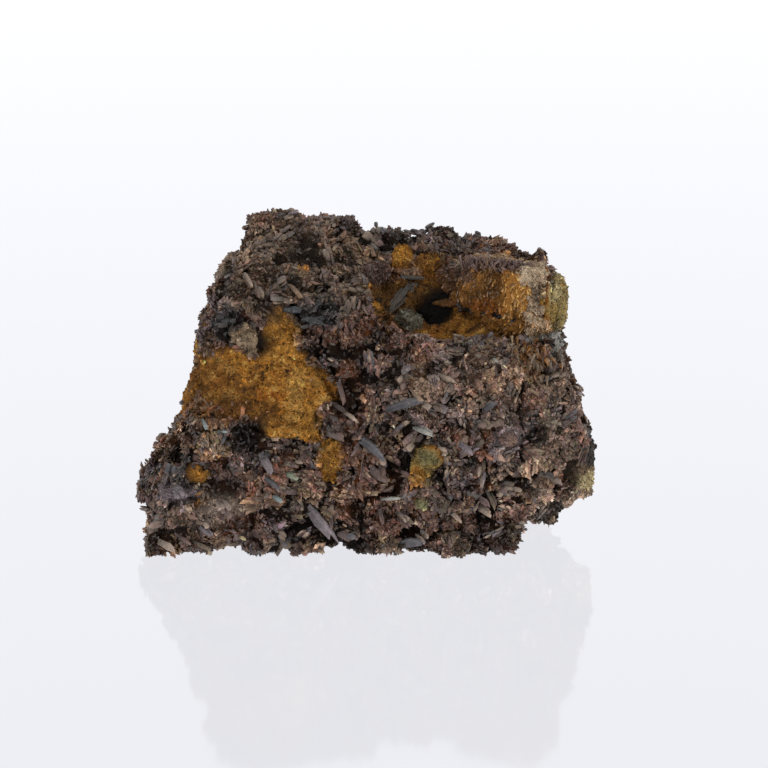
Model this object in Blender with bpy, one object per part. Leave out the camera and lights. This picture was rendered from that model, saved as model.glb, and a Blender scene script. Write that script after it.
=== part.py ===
"""Axinite hand specimen: one broken block of matrix, grown over with a crust of bladed crystals.

The block is a rounded solid of flat broken faces. Lumps swell out of it, hollows and holes sink into it,
the crust stands on it except on the bare ochre patches, and blades of axinite are fused to the crust.
The stone is shaped in a working frame in millimetres: X to the right, Y to the back, Z up from the
surface that it stands on, with Y = 0 where its front edge touches. MM and MIDDLE then bring it to metres,
with the middle of its base at the origin.
"""

import math

import bmesh
import bpy
import numpy as np
from mathutils import Matrix

MM = 0.001
MIDDLE = (-2.6, 13.8)
HEART = np.array((-2.0, 15.0, 17.0))

# Broken faces of the block: the way each looks out, and its distance from the working frame's origin.
FACES = {
    "front_foot": ((0.05, -0.998, 0.0), 0.1),
    "front_brow": ((0.0, -0.925, 0.38), 6.2),
    "top": ((0.07, -0.275, 0.957), 28.9),
    "left": ((-0.958, 0.03, 0.287), 29.6),
    "left_foot": ((-0.983, 0.0, -0.185), 31.2),
    "left_back": ((-0.75, 0.64, 0.16), 37.0),
    "back": ((-0.12, 0.96, 0.24), 32.2),
    "back_split": ((0.32, 0.94, 0.1), 30.6),
    "back_low": ((0.05, 0.88, -0.47), 25.5),
    "right_back": ((0.74, 0.66, 0.14), 31.8),
    "right": ((0.954, 0.0, 0.30), 28.9),
    "right_under": ((0.757, -0.1, -0.654), 10.0),
    "front_under": ((0.06, -0.8, -0.6), -1.9),
    "base": ((0.0, 0.0, -1.0), -0.5),
}
EDGE_SHARPNESS = 32.0

# Swellings of the block: centre and radii.
LUMPS = {
    "right_mass": ((8.0, 8.0, 15.5), (15.2, 10.0, 13.5)),
    "right_heel": ((19.5, 10.5, 10.4), (7.6, 8.5, 8.8)),
    "left_foot": ((-21.5, 8.0, 7.5), (10.3, 8.5, 7.6)),
}
LUMP_BLEND = 1.5

# The hollow in the top, right of the plateau. Each wall looks into it, at a distance from the origin.
RECESS_WALLS = {
    "floor": ((0.0, 0.316, 0.949), 28.3),
    "back_wall": ((0.03, -0.72, 0.69), 10.6),
    "left_wall": ((0.96, 0.1, 0.25), 7.0),
    "right_wall": ((-0.93, 0.0, 0.36), -8.6),
}
RECESS_SHARPNESS = 14.0
HOLLOW_BLEND = 1.2

# Smooth knobs that stand in or beside the hollow: centre and radii.
KNOBS = {
    "olive_knob": ((20.8, 12.5, 30.6), (3.3, 3.6, 4.6)),
    "column": ((19.6, 15.0, 32.2), (1.9, 3.4, 4.6)),
}

# Parts of the skin that stand out or sit back: centre and radii of the space that moves, how far it moves
# and the share of the radii over which the move fades out.
SHIFTS = {
    "plateau": ((-13.0, 20.0, 39.0), (13.5, 17.0, 7.0), (0.0, 0.4, 1.7), 0.45),
    "plateau_brow": ((-17.0, 5.0, 33.5), (9.0, 5.0, 3.2), (0.0, -1.2, 0.4), 0.5),
    "right_waist": ((24.5, 8.0, 26.8), (4.5, 9.0, 4.0), (-1.4, 0.0, 0.0), 0.8),
    "ochre_face": ((-16.0, -1.0, 23.5), (11.5, 6.0, 8.5), (0.0, 1.0, -0.2), 0.6),
    "slab": ((15.3, 16.5, 32.5), (6.4, 7.0, 5.0), (0.0, -1.2, 0.9), 0.45),
    "lip_undercut": ((16.0, -1.0, 6.2), (9.5, 6.0, 3.6), (0.0, 1.6, 0.2), 0.6),
    "front_notch": ((-19.2, 0.0, 0.6), (3.2, 4.0, 2.8), (0.0, 0.7, 1.5), 0.9),
    "lower_ledge": ((-20.0, -1.5, 10.0), (13.0, 5.0, 4.0), (0.0, -0.8, 0.0), 0.6),
    "back_ledge": ((9.0, 31.0, 29.0), (14.0, 7.0, 9.0), (0.0, -2.8, -0.6), 0.45),
    "back_foot_hollow": ((-19.0, 33.0, 9.0), (10.0, 8.0, 8.0), (0.8, -2.6, 0.4), 0.5),
    "foot_corner": ((-29.5, 1.5, 1.5), (5.5, 6.0, 4.5), (-1.1, -0.9, -0.2), 0.9),
    "toe": ((5.5, -0.5, 0.0), (14.0, 6.0, 4.0), (0.0, -2.4, -0.5), 0.7),
    "crest": ((-14.5, 23.0, 38.5), (8.0, 8.0, 5.0), (0.0, 0.0, 0.9), 0.6),
    "crest_corner": ((-20.0, 21.0, 37.5), (5.0, 12.0, 5.5), (1.3, 0.0, -0.8), 0.8),
    "left_flank": ((-27.0, 10.0, 16.5), (6.0, 9.0, 7.0), (-0.6, 0.0, 0.0), 0.7),
    "left_side_step": ((-30.0, 19.0, 16.0), (8.0, 8.0, 11.0), (2.2, 0.0, -0.4), 0.45),
    "under_hollow": ((-8.0, 20.0, 0.0), (11.0, 8.0, 4.0), (0.0, 0.0, 2.2), 0.7),
    "under_hollow_right": ((9.0, 9.0, 0.0), (7.0, 5.0, 4.0), (0.0, 0.0, 2.0), 0.7),
}

# Pits and holes driven towards the heart of the stone: mouth, radius of the mouth, and depth.
PIT_STEEPNESS = 1.6
PITS = {
    "vug": ((7.0, 14.8, 29.8), 2.7, 7.0),
    "shadow": ((-20.5, 3.5, 30.5), 2.8, 2.6),
    "slot": ((-19.0, -1.0, 17.3), 2.4, 3.2),
    "plateau_pit": ((-13.2, 9.0, 36.0), 2.0, 2.2),
    "plateau_pit_left": ((-16.0, 5.5, 33.8), 1.5, 1.5),
    "mass_pit": ((12.0, -3.0, 14.0), 1.4, 1.6),
    "mass_pit_right": ((15.0, -2.0, 18.5), 1.3, 1.5),
    "mass_pit_high": ((0.0, -1.5, 25.5), 1.4, 1.6),
    "mass_pit_low": ((0.0, -2.0, 7.0), 2.2, 1.9),
    "left_pit_low": ((-12.0, -1.5, 7.0), 2.0, 1.8),
}

# Bare ochre patches: centre and radii of the space that holds each.
BARE_PATCHES = {
    "face": ((-16.2, 0.0, 24.0), (10.6, 7.5, 5.8)),
    "face_apex": ((-13.6, 3.5, 29.4), (3.0, 5.0, 3.9)),
    "face_right": ((-9.0, 0.0, 22.4), (4.6, 5.0, 5.2)),
    "face_tongue": ((-7.0, -1.5, 14.8), (1.5, 3.0, 3.6)),
    "foot_spot": ((-24.0, -1.5, 12.2), (1.3, 3.0, 1.0)),
    "recess": ((9.5, 13.0, 30.5), (11.8, 7.5, 6.2)),
    "olive_knob": ((21.5, 12.0, 30.8), (3.8, 4.5, 4.4)),
    "left_side": ((-26.0, 12.0, 24.0), (5.0, 9.0, 9.0)),
    "back_scar": ((3.0, 33.0, 17.0), (15.0, 7.0, 10.5)),
}
BARE_EDGE = 0.22
# Their border wanders: size of each wave, and how far it wanders as a share of the patch's radii
BORDER_WAVES = ((3.0, 0.16), (1.3, 0.08))
BORDER_SEED = 31

# The crust's depth, and its relief: size of each swell and its height, of which a bare patch keeps a share.
CRUST_DEPTH = 1.5
CRUST_SWELLS = ((9.0, 0.9), (4.2, 0.7), (2.1, 0.4))
BARE_RELIEF = 0.3

# Unseen sides are more broken: size, height and middle of their swells, and where they set in to the back.
BACK_SWELL = (15.0, 2.2)
BACK_SINK = 0.3
BACK_SEED = 8
BACK_FROM = 20.0
BACK_OVER = 10.0

# Blades fused to the crust: how many places are tried and how unevenly they lie, their length, breadth and
# thickness from least to most, their lean from the skin in degrees, their roll in radians, the share of the
# length that is sunk in the crust, the share of the thickness left at the tip, and the skew of the ends.
BLADE_PLACES = 640
BLADE_SEED = 7
BLADE_UNEVENNESS = 0.03
BLADE_LENGTH = (2.4, 4.2)
BLADE_BREADTH = (1.2, 2.2)
BLADE_THICKNESS = (0.6, 1.2)
BLADE_LEAN = (3.0, 36.0)
BLADE_ROLL = 0.8
BLADE_SUNK = 0.62
BLADE_TIP = 0.35
BLADE_SKEW = 0.45
# Where a blade may stand: on crust, not too near the base, and not looking straight down
BLADE_MOST_BARE = 0.2
BLADE_LOWEST = 1.6
BLADE_MOST_DOWN = -0.6
# Places are thinned out to be as dense as where the skin is this far from the heart
BLADE_FURTHEST = 38.0
LEAST_FACING = 0.3

# How the skin's slope is felt: by steps of this many radians, to two sides across the ray
FEELER = 0.02
FEELER_SIDE = (0.31, 0.64, 0.70)
NEARLY_UP = (0.0, 0.1, 1.0)

# Sizes of the solid's own mesh
ROUND_CUTS = 6
KEPT_SHARE = 0.17
FLOOR_SIDE = 120.0


def lattice_noise(points, size, seed):
    """Smooth random values from -1 to 1. Each corner of a cubic lattice of this size has one random
    number, hashed from its whole-number place, and the values between are eased from corner to corner."""
    scaled = points / size
    corner = np.floor(scaled)
    part = scaled - corner
    ease = part * part * part * (part * (part * 6.0 - 15.0) + 10.0)
    corner = corner.astype(np.int64)
    total = np.zeros(len(points))
    for step in np.ndindex(2, 2, 2):
        x, y, z = (corner + step).T
        mixed = (x * 374761393 + y * 668265263 + z * 1440662683 + seed * 974634777) & 0xFFFFFFFF
        mixed = ((mixed ^ (mixed >> 13)) * 1274126177) & 0xFFFFFFFF
        mixed = (mixed ^ (mixed >> 16)) & 0xFFFF
        share = np.prod(np.where(np.array(step) == 1, ease, 1.0 - ease), axis=1)
        total += share * (mixed / 32767.5 - 1.0)
    return total


def smooth_least(first, second, blend):
    """The lesser of two distances, with the crease between them rounded over this blend."""
    near = np.maximum(blend - np.abs(first - second), 0.0) / blend
    return np.minimum(first, second) - near * near * blend / 4.0


def eased(value):
    """0 below 0, 1 above 1, and a smooth S between."""
    value = np.clip(value, 0.0, 1.0)
    return value * value * (3.0 - 2.0 * value)


def block_reach(rays):
    """How far the rounded block reaches along each ray: a high power mean over its broken faces of the
    share of each face's distance that one unit of the ray covers."""
    closeness = np.zeros(len(rays))
    for way, distance in FACES.values():
        way = np.array(way) / np.linalg.norm(way)
        share = np.maximum(rays @ way, 0.0) / (distance - HEART @ way)
        closeness += share**EDGE_SHARPNESS
    return closeness ** (-1.0 / EDGE_SHARPNESS)


def swollen_by(reach, rays, centre, radii):
    """The reach of each ray where an ellipsoid is added to the block: the ray goes on to where it leaves
    the ellipsoid, if that is further, with the crease rounded over."""
    start = (HEART - np.array(centre)) / np.array(radii)
    step = rays / np.array(radii)
    a = np.sum(step * step, axis=1)
    b = step @ start
    inside = b * b - a * (start @ start - 1.0)
    leaves = (np.sqrt(np.maximum(inside, 0.0)) - b) / a
    return np.where((inside > 0.0) & (leaves > 0.0), -smooth_least(-reach, -leaves, LUMP_BLEND), reach)


def recess_entry(rays):
    """Where each ray enters the hollow in the top: at the last of its walls that the ray passes, with the
    corners between walls rounded by a high power mean. A ray that leaves first, or never enters, gets inf."""
    farness = np.zeros(len(rays))
    enters = np.ones(len(rays), bool)
    leaves = np.full(len(rays), np.inf)
    for way, distance in RECESS_WALLS.values():
        way = np.array(way) / np.linalg.norm(way)
        ahead = rays @ way
        gap = distance - HEART @ way
        if gap > 0.0:
            enters &= ahead > 1e-6
            farness += (gap / np.maximum(ahead, 1e-6)) ** RECESS_SHARPNESS
        else:
            leaves = np.where(ahead < 0.0, np.minimum(leaves, gap / np.minimum(ahead, -1e-6)), leaves)
    entry = farness ** (1.0 / RECESS_SHARPNESS)
    return np.where(enters & (entry < leaves), entry, np.inf)


def shifted(points):
    """The points after each named shift: a space eases its points along by its move, fading at its edge."""
    for centre, radii, move, fade in SHIFTS.values():
        away = np.linalg.norm((points - np.array(centre)) / np.array(radii), axis=1)
        points = points + eased((1.0 - away) / fade)[:, None] * np.array(move)
    return points


def bareness(points):
    """1 on the bare ochre patches and 0 on the crust, with a ragged edge between."""
    ragged = np.zeros(len(points))
    for number, (size, share) in enumerate(BORDER_WAVES):
        ragged += share * lattice_noise(points, size, BORDER_SEED + number)
    bare = np.zeros(len(points))
    for centre, radii in BARE_PATCHES.values():
        away = np.linalg.norm((points - np.array(centre)) / np.array(radii), axis=1)
        bare = np.maximum(bare, eased((1.0 - away + ragged) / BARE_EDGE))
    return bare


def skin(rays):
    """The stone's skin: one point for each unit ray out of its heart, and how bare of crust it is there."""
    reach = block_reach(rays)
    for centre, radii in LUMPS.values():
        reach = swollen_by(reach, rays, centre, radii)
    reach = smooth_least(reach, np.minimum(recess_entry(rays), 1e3), HOLLOW_BLEND)
    for centre, radii in KNOBS.values():
        reach = swollen_by(reach, rays, centre, radii)
    points = shifted(HEART + rays * reach[:, None])
    bare = bareness(points)
    lift = CRUST_DEPTH * (1.0 - bare)
    for number, (size, height) in enumerate(CRUST_SWELLS):
        lift += height * (1.0 - (1.0 - BARE_RELIEF) * bare) * lattice_noise(points, size, number)
    size, height = BACK_SWELL
    towards_back = eased((points[:, 1] - BACK_FROM) / BACK_OVER)
    lift += height * towards_back * (lattice_noise(points, size, BACK_SEED) - BACK_SINK)
    for mouth, radius, depth in PITS.values():
        away = np.linalg.norm(points - np.array(mouth), axis=1) / radius
        lift -= depth * eased(PIT_STEEPNESS * (1.0 - away))
    return points + rays * lift[:, None], bare


def unit(vectors):
    return vectors / np.linalg.norm(vectors, axis=1)[:, None]


def skin_frames(rays):
    """Skin points with the way out of the skin at each, from two neighbouring points on it, and bareness."""
    points, bare = skin(rays)
    side = unit(np.cross(rays, FEELER_SIDE))
    edges = [skin(unit(rays + FEELER * way))[0] - points for way in (side, np.cross(rays, side))]
    outward = unit(np.cross(*edges))
    outward *= np.sign(np.sum(outward * rays, axis=1))[:, None]
    return points, outward, bare


def spread_rays(count):
    """Unit rays spread evenly over all directions, along a golden-angle spiral from pole to pole."""
    number = np.arange(count) + 0.5
    height = 1.0 - 2.0 * number / count
    turn = number * math.pi * (3.0 - math.sqrt(5.0))
    width = np.sqrt(1.0 - height * height)
    return np.stack((width * np.cos(turn), width * np.sin(turn), height), axis=1)


def between(dice, limits, count):
    return dice.uniform(limits[0], limits[1], (count, 1))


def blade_axes():
    """The crust's blades: the middle of each, and the half-edges of the skewed box that it is cut from,
    longest first. A blade leans out of the skin to a random side. Places are kept by chance, more often
    where neighbouring rays lie further apart, so that blades are as dense near the heart as far from it."""
    dice = np.random.default_rng(BLADE_SEED)
    rays = unit(spread_rays(BLADE_PLACES) + dice.normal(0.0, BLADE_UNEVENNESS, (BLADE_PLACES, 3)))
    points, outward, bare = skin_frames(rays)
    turn, roll, chance = dice.uniform(-1.0, 1.0, (3, BLADE_PLACES, 1))
    lean = np.radians(between(dice, BLADE_LEAN, BLADE_PLACES))
    flat = unit(np.cross(outward, NEARLY_UP))
    flat = flat * np.cos(math.pi * turn) + np.cross(outward, flat) * np.sin(math.pi * turn)
    along = outward * np.sin(lean) + flat * np.cos(lean)
    broad = np.cross(outward, flat)
    thick = np.cross(along, broad) * np.cos(BLADE_ROLL * roll) + broad * np.sin(BLADE_ROLL * roll)
    broad = np.cross(thick, along) + BLADE_SKEW * along
    long_half = 0.5 * between(dice, BLADE_LENGTH, BLADE_PLACES) * along
    broad_half = 0.5 * between(dice, BLADE_BREADTH, BLADE_PLACES) * broad
    thick_half = 0.5 * between(dice, BLADE_THICKNESS, BLADE_PLACES) * thick
    middles = points + long_half * (1.0 - 2.0 * BLADE_SUNK)
    reach = np.linalg.norm(points - HEART, axis=1)
    crossed = (reach / BLADE_FURTHEST) ** 2 / np.maximum(np.sum(outward * rays, axis=1), LEAST_FACING)
    keep = (bare < BLADE_MOST_BARE) & (points[:, 2] > BLADE_LOWEST) & (outward[:, 2] > BLADE_MOST_DOWN)
    keep &= 0.5 + 0.5 * chance[:, 0] < crossed
    return middles[keep], long_half[keep], broad_half[keep], thick_half[keep]


def placed(points):
    """Points of the working frame, brought to metres with the middle of the base at the origin."""
    return (points - np.array((*MIDDLE, 0.0))) * MM


def clear_scene():
    for thing in list(bpy.data.objects):
        bpy.data.objects.remove(thing, do_unlink=True)


def new_collection(name):
    collection = bpy.data.collections.new(name)
    bpy.context.scene.collection.children.link(collection)
    return collection


def crust_material():
    material = bpy.data.materials.new("axinite_crust")
    material.use_nodes = True
    shader = material.node_tree.nodes["Principled BSDF"]
    shader.inputs["Base Color"].default_value = (0.095, 0.066, 0.056, 1.0)
    shader.inputs["Roughness"].default_value = 0.42
    shader.inputs["Metallic"].default_value = 0.0
    return material


def rock_body(collection):
    """A round mesh whose vertices are sent out along their rays to the skin."""
    mesh = bpy.data.meshes.new("axinite_specimen")
    form = bmesh.new()
    bmesh.ops.create_icosphere(form, subdivisions=ROUND_CUTS, radius=1.0)
    rays = np.array([vertex.co for vertex in form.verts], dtype=float)
    rays /= np.linalg.norm(rays, axis=1)[:, None]
    for vertex, place in zip(form.verts, placed(skin(rays)[0])):
        vertex.co = place
    form.to_mesh(mesh)
    form.free()
    body = bpy.data.objects.new("axinite_specimen", mesh)
    collection.objects.link(body)
    thinning = body.modifiers.new("thin_flat_stretches", "DECIMATE")
    thinning.ratio = KEPT_SHARE
    return body


def crust_blades(collection):
    """One mesh of all the blades: each is a cube skewed to its axes, its outer end thinned to a chisel."""
    form = bmesh.new()
    for middle, long_half, broad_half, thick_half in zip(*blade_axes()):
        blade = bmesh.ops.create_cube(form, size=2.0)["verts"]
        for vertex in blade:
            narrow = BLADE_TIP if vertex.co.x > 0.0 else 1.0
            vertex.co.z *= narrow
        axes = Matrix((long_half, broad_half, thick_half)).transposed() * MM
        shape = Matrix.Translation(placed(middle)) @ axes.to_4x4()
        bmesh.ops.transform(form, matrix=shape, verts=blade)
    bmesh.ops.recalc_face_normals(form, faces=form.faces)
    mesh = bpy.data.meshes.new("crust_blades")
    form.to_mesh(mesh)
    form.free()
    blades = bpy.data.objects.new("crust_blades", mesh)
    blades.hide_render = True
    blades.display_type = "WIRE"
    collection.objects.link(blades)
    return blades


def floor_cutter(collection):
    """Takes off what would reach below the surface that the stone stands on."""
    mesh = bpy.data.meshes.new("floor_cut")
    form = bmesh.new()
    side = FLOOR_SIDE * MM
    bmesh.ops.create_cube(form, size=side, matrix=Matrix.Translation((0.0, 0.0, -side / 2.0)))
    form.to_mesh(mesh)
    form.free()
    cutter = bpy.data.objects.new("floor_cut", mesh)
    cutter.hide_render = True
    cutter.display_type = "WIRE"
    collection.objects.link(cutter)
    return cutter


def build():
    clear_scene()
    specimen = new_collection("axinite")
    helpers = new_collection("helpers")
    body = rock_body(specimen)
    body.data.materials.append(crust_material())
    fuse = body.modifiers.new("fuse_blades", "BOOLEAN")
    fuse.operation = "UNION"
    fuse.solver = "EXACT"
    fuse.use_self = True
    fuse.object = crust_blades(helpers)
    cut = body.modifiers.new("stand_flat", "BOOLEAN")
    cut.operation = "DIFFERENCE"
    cut.solver = "EXACT"
    cut.object = floor_cutter(helpers)


build()
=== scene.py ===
"""Looks of the axinite hand specimen: its skin, crystals, ochre and light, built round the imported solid.

The stone is shaped in its part's working frame in millimetres: X to the right, Y to the back, Z up from
the surface that it stands on, with Y = 0 where its front edge touches. MM and MIDDLE bring it to metres.
The skin is the solid's own, made finer and sunk a little under the crust, and the crystals are rooted in
it. Each piece is worked out with numpy, over all its points at once.
"""

import math

import bpy
import numpy as np
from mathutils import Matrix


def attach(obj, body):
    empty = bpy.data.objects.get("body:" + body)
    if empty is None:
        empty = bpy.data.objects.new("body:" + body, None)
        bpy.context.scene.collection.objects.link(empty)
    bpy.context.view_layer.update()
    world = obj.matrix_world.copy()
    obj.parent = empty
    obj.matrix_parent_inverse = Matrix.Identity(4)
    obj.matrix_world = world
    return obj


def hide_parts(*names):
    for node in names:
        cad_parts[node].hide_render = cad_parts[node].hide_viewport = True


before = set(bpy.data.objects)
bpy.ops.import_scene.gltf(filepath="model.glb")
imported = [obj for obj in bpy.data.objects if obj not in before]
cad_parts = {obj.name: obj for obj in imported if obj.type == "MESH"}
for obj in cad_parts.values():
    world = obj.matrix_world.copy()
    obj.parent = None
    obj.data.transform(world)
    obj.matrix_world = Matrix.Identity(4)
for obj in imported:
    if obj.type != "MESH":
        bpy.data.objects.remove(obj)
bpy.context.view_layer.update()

# The solid's shape, as its part has it

MM = 0.001
MIDDLE = (-2.6, 13.8)
HEART = np.array((-2.0, 15.0, 17.0))

# Broken faces of the block: the way each looks out, and its distance from the working frame's origin.
FACES = {
    "front_foot": ((0.05, -0.998, 0.0), 0.1),
    "front_brow": ((0.0, -0.925, 0.38), 6.2),
    "top": ((0.07, -0.275, 0.957), 28.9),
    "left": ((-0.958, 0.03, 0.287), 29.6),
    "left_foot": ((-0.983, 0.0, -0.185), 31.2),
    "left_back": ((-0.75, 0.64, 0.16), 37.0),
    "back": ((-0.12, 0.96, 0.24), 32.2),
    "back_split": ((0.32, 0.94, 0.1), 30.6),
    "back_low": ((0.05, 0.88, -0.47), 25.5),
    "right_back": ((0.74, 0.66, 0.14), 31.8),
    "right": ((0.954, 0.0, 0.30), 28.9),
    "right_under": ((0.757, -0.1, -0.654), 10.0),
    "front_under": ((0.06, -0.8, -0.6), -1.9),
    "base": ((0.0, 0.0, -1.0), -0.5),
}
EDGE_SHARPNESS = 32.0

# Swellings of the block: centre and radii.
LUMPS = {
    "right_mass": ((8.0, 8.0, 15.5), (15.2, 10.0, 13.5)),
    "right_heel": ((19.5, 10.5, 10.4), (7.6, 8.5, 8.8)),
    "left_foot": ((-21.5, 8.0, 7.5), (10.3, 8.5, 7.6)),
}
LUMP_BLEND = 1.5

# The hollow in the top, right of the plateau. Each wall looks into it, at a distance from the origin.
RECESS_WALLS = {
    "floor": ((0.0, 0.316, 0.949), 28.3),
    "back_wall": ((0.03, -0.72, 0.69), 10.6),
    "left_wall": ((0.96, 0.1, 0.25), 7.0),
    "right_wall": ((-0.93, 0.0, 0.36), -8.6),
}
RECESS_SHARPNESS = 14.0
# The least that a ray has to face a wall to meet it, and how far out a ray that misses the hollow meets it
LEAST_AHEAD = 1e-6
FAR_OUT = 1e3
HOLLOW_BLEND = 1.2

# Smooth knobs that stand in or beside the hollow: centre and radii.
KNOBS = {
    "olive_knob": ((20.8, 12.5, 30.6), (3.3, 3.6, 4.6)),
    "column": ((19.6, 15.0, 32.2), (1.9, 3.4, 4.6)),
}

# Parts of the skin that stand out or sit back: centre and radii of the space that moves, how far it moves
# and the share of the radii over which the move fades out.
SHIFTS = {
    "plateau": ((-13.0, 20.0, 39.0), (13.5, 17.0, 7.0), (0.0, 0.4, 1.7), 0.45),
    "plateau_brow": ((-17.0, 5.0, 33.5), (9.0, 5.0, 3.2), (0.0, -1.2, 0.4), 0.5),
    "right_waist": ((24.5, 8.0, 26.8), (4.5, 9.0, 4.0), (-1.4, 0.0, 0.0), 0.8),
    "ochre_face": ((-16.0, -1.0, 23.5), (11.5, 6.0, 8.5), (0.0, 1.0, -0.2), 0.6),
    "slab": ((15.3, 16.5, 32.5), (6.4, 7.0, 5.0), (0.0, -1.2, 0.9), 0.45),
    "lip_undercut": ((16.0, -1.0, 6.2), (9.5, 6.0, 3.6), (0.0, 1.6, 0.2), 0.6),
    "front_notch": ((-19.2, 0.0, 0.6), (3.2, 4.0, 2.8), (0.0, 0.7, 1.5), 0.9),
    "lower_ledge": ((-20.0, -1.5, 10.0), (13.0, 5.0, 4.0), (0.0, -0.8, 0.0), 0.6),
    "back_ledge": ((9.0, 31.0, 29.0), (14.0, 7.0, 9.0), (0.0, -2.8, -0.6), 0.45),
    "back_foot_hollow": ((-19.0, 33.0, 9.0), (10.0, 8.0, 8.0), (0.8, -2.6, 0.4), 0.5),
    "foot_corner": ((-29.5, 1.5, 1.5), (5.5, 6.0, 4.5), (-1.1, -0.9, -0.2), 0.9),
    "toe": ((5.5, -0.5, 0.0), (14.0, 6.0, 4.0), (0.0, -2.4, -0.5), 0.7),
    "crest": ((-14.5, 23.0, 38.5), (8.0, 8.0, 5.0), (0.0, 0.0, 0.9), 0.6),
    "crest_corner": ((-20.0, 21.0, 37.5), (5.0, 12.0, 5.5), (1.3, 0.0, -0.8), 0.8),
    "left_flank": ((-27.0, 10.0, 16.5), (6.0, 9.0, 7.0), (-0.6, 0.0, 0.0), 0.7),
    "left_side_step": ((-30.0, 19.0, 16.0), (8.0, 8.0, 11.0), (2.2, 0.0, -0.4), 0.45),
    "under_hollow": ((-8.0, 20.0, 0.0), (11.0, 8.0, 4.0), (0.0, 0.0, 2.2), 0.7),
    "under_hollow_right": ((9.0, 9.0, 0.0), (7.0, 5.0, 4.0), (0.0, 0.0, 2.0), 0.7),
}

# Pits and holes driven towards the heart of the stone: mouth, radius of the mouth, and depth.
PIT_STEEPNESS = 1.6
PITS = {
    "vug": ((7.0, 14.8, 29.8), 2.7, 7.0),
    "shadow": ((-20.5, 3.5, 30.5), 2.8, 2.6),
    "slot": ((-19.0, -1.0, 17.3), 2.4, 3.2),
    "plateau_pit": ((-13.2, 9.0, 36.0), 2.0, 2.2),
    "plateau_pit_left": ((-16.0, 5.5, 33.8), 1.5, 1.5),
    "mass_pit": ((12.0, -3.0, 14.0), 1.4, 1.6),
    "mass_pit_right": ((15.0, -2.0, 18.5), 1.3, 1.5),
    "mass_pit_high": ((0.0, -1.5, 25.5), 1.4, 1.6),
    "mass_pit_low": ((0.0, -2.0, 7.0), 2.2, 1.9),
    "left_pit_low": ((-12.0, -1.5, 7.0), 2.0, 1.8),
}

# Bare ochre patches: centre and radii of the space that holds each.
BARE_PATCHES = {
    "face": ((-16.2, 0.0, 24.0), (10.6, 7.5, 5.8)),
    "face_apex": ((-13.6, 3.5, 29.4), (3.0, 5.0, 3.9)),
    "face_right": ((-9.0, 0.0, 22.4), (4.6, 5.0, 5.2)),
    "face_tongue": ((-7.0, -1.5, 14.8), (1.5, 3.0, 3.6)),
    "foot_spot": ((-24.0, -1.5, 12.2), (1.3, 3.0, 1.0)),
    "recess": ((9.5, 13.0, 30.5), (11.8, 7.5, 6.2)),
    "olive_knob": ((21.5, 12.0, 30.8), (3.8, 4.5, 4.4)),
    "left_side": ((-26.0, 12.0, 24.0), (5.0, 9.0, 9.0)),
    "back_scar": ((3.0, 33.0, 17.0), (15.0, 7.0, 10.5)),
}
BARE_EDGE = 0.22
# Their border wanders: size of each wave, and how far it wanders as a share of the patch's radii
BORDER_WAVES = ((3.0, 0.16), (1.3, 0.08))
BORDER_SEED = 31

# The crust's depth, and its relief: size of each swell and its height, of which a bare patch keeps a share.
CRUST_DEPTH = 1.5
CRUST_SWELLS = ((9.0, 0.9), (4.2, 0.7), (2.1, 0.4))
BARE_RELIEF = 0.3

# Unseen sides are more broken: size, height and middle of their swells, and where they set in to the back.
BACK_SWELL = (15.0, 2.2)
BACK_SINK = 0.3
BACK_SEED = 8
BACK_FROM = 20.0
BACK_OVER = 10.0

# The solid's own blades
BLADE_PLACES = 640
BLADE_SEED = 7
BLADE_UNEVENNESS = 0.03
BLADE_LENGTH = (2.4, 4.2)
BLADE_BREADTH = (1.2, 2.2)
BLADE_THICKNESS = (0.6, 1.2)
BLADE_LEAN = (3.0, 36.0)
BLADE_ROLL = 0.8
BLADE_SUNK = 0.62
BLADE_SKEW = 0.45
BLADE_MOST_BARE = 0.2
BLADE_LOWEST = 1.6
BLADE_MOST_DOWN = -0.6
BLADE_FURTHEST = 38.0
LEAST_FACING = 0.3
FEELER = 0.02
FEELER_SIDE = (0.31, 0.64, 0.70)
NEARLY_UP = (0.0, 0.1, 1.0)

# What only the looks have

# The fine skin: grid lines on each side of the cube that it is blown up from, how far it sits under the
# crust, and its own relief, in the crust and on bare ochre, as size and height of each swell.
SKIN_CUTS = 124
SKIN_SUNK = 0.3
CRUST_GRAIN = ((1.3, 0.34), (0.7, 0.22))
OCHRE_GRAIN = ((3.2, 0.5), (1.6, 0.45), (0.85, 0.3), (0.5, 0.18))
GRAIN_SEED = 50
# How the border of the bare ochre is frayed: size and height of each wave
FRAYS = ((1.5, 0.5), (0.7, 0.5))
FRAY_SEED = 55
# Gaps between the crystals: size, where in the noise they start, over how much of it they reach their
# depth, and that depth
GAPS = ((3.4, 0.26, 0.3, 0.9), (1.5, 0.36, 0.3, 0.5))
GAP_SEED = 60
# How far painted shade darkens the ochre in the hollows of its relief, and how soon
HOLLOW_SHADE = 0.5
HOLLOW_STEEPNESS = 2.2
# Crevices between clusters, where a noise passes through zero: size, half-width in the noise, and depth
CREVICES = ((5.2, 0.13, 0.8), (2.4, 0.17, 0.5))
CREVICE_SEED = 66
CREVICE_STEEPNESS = 1.4

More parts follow.
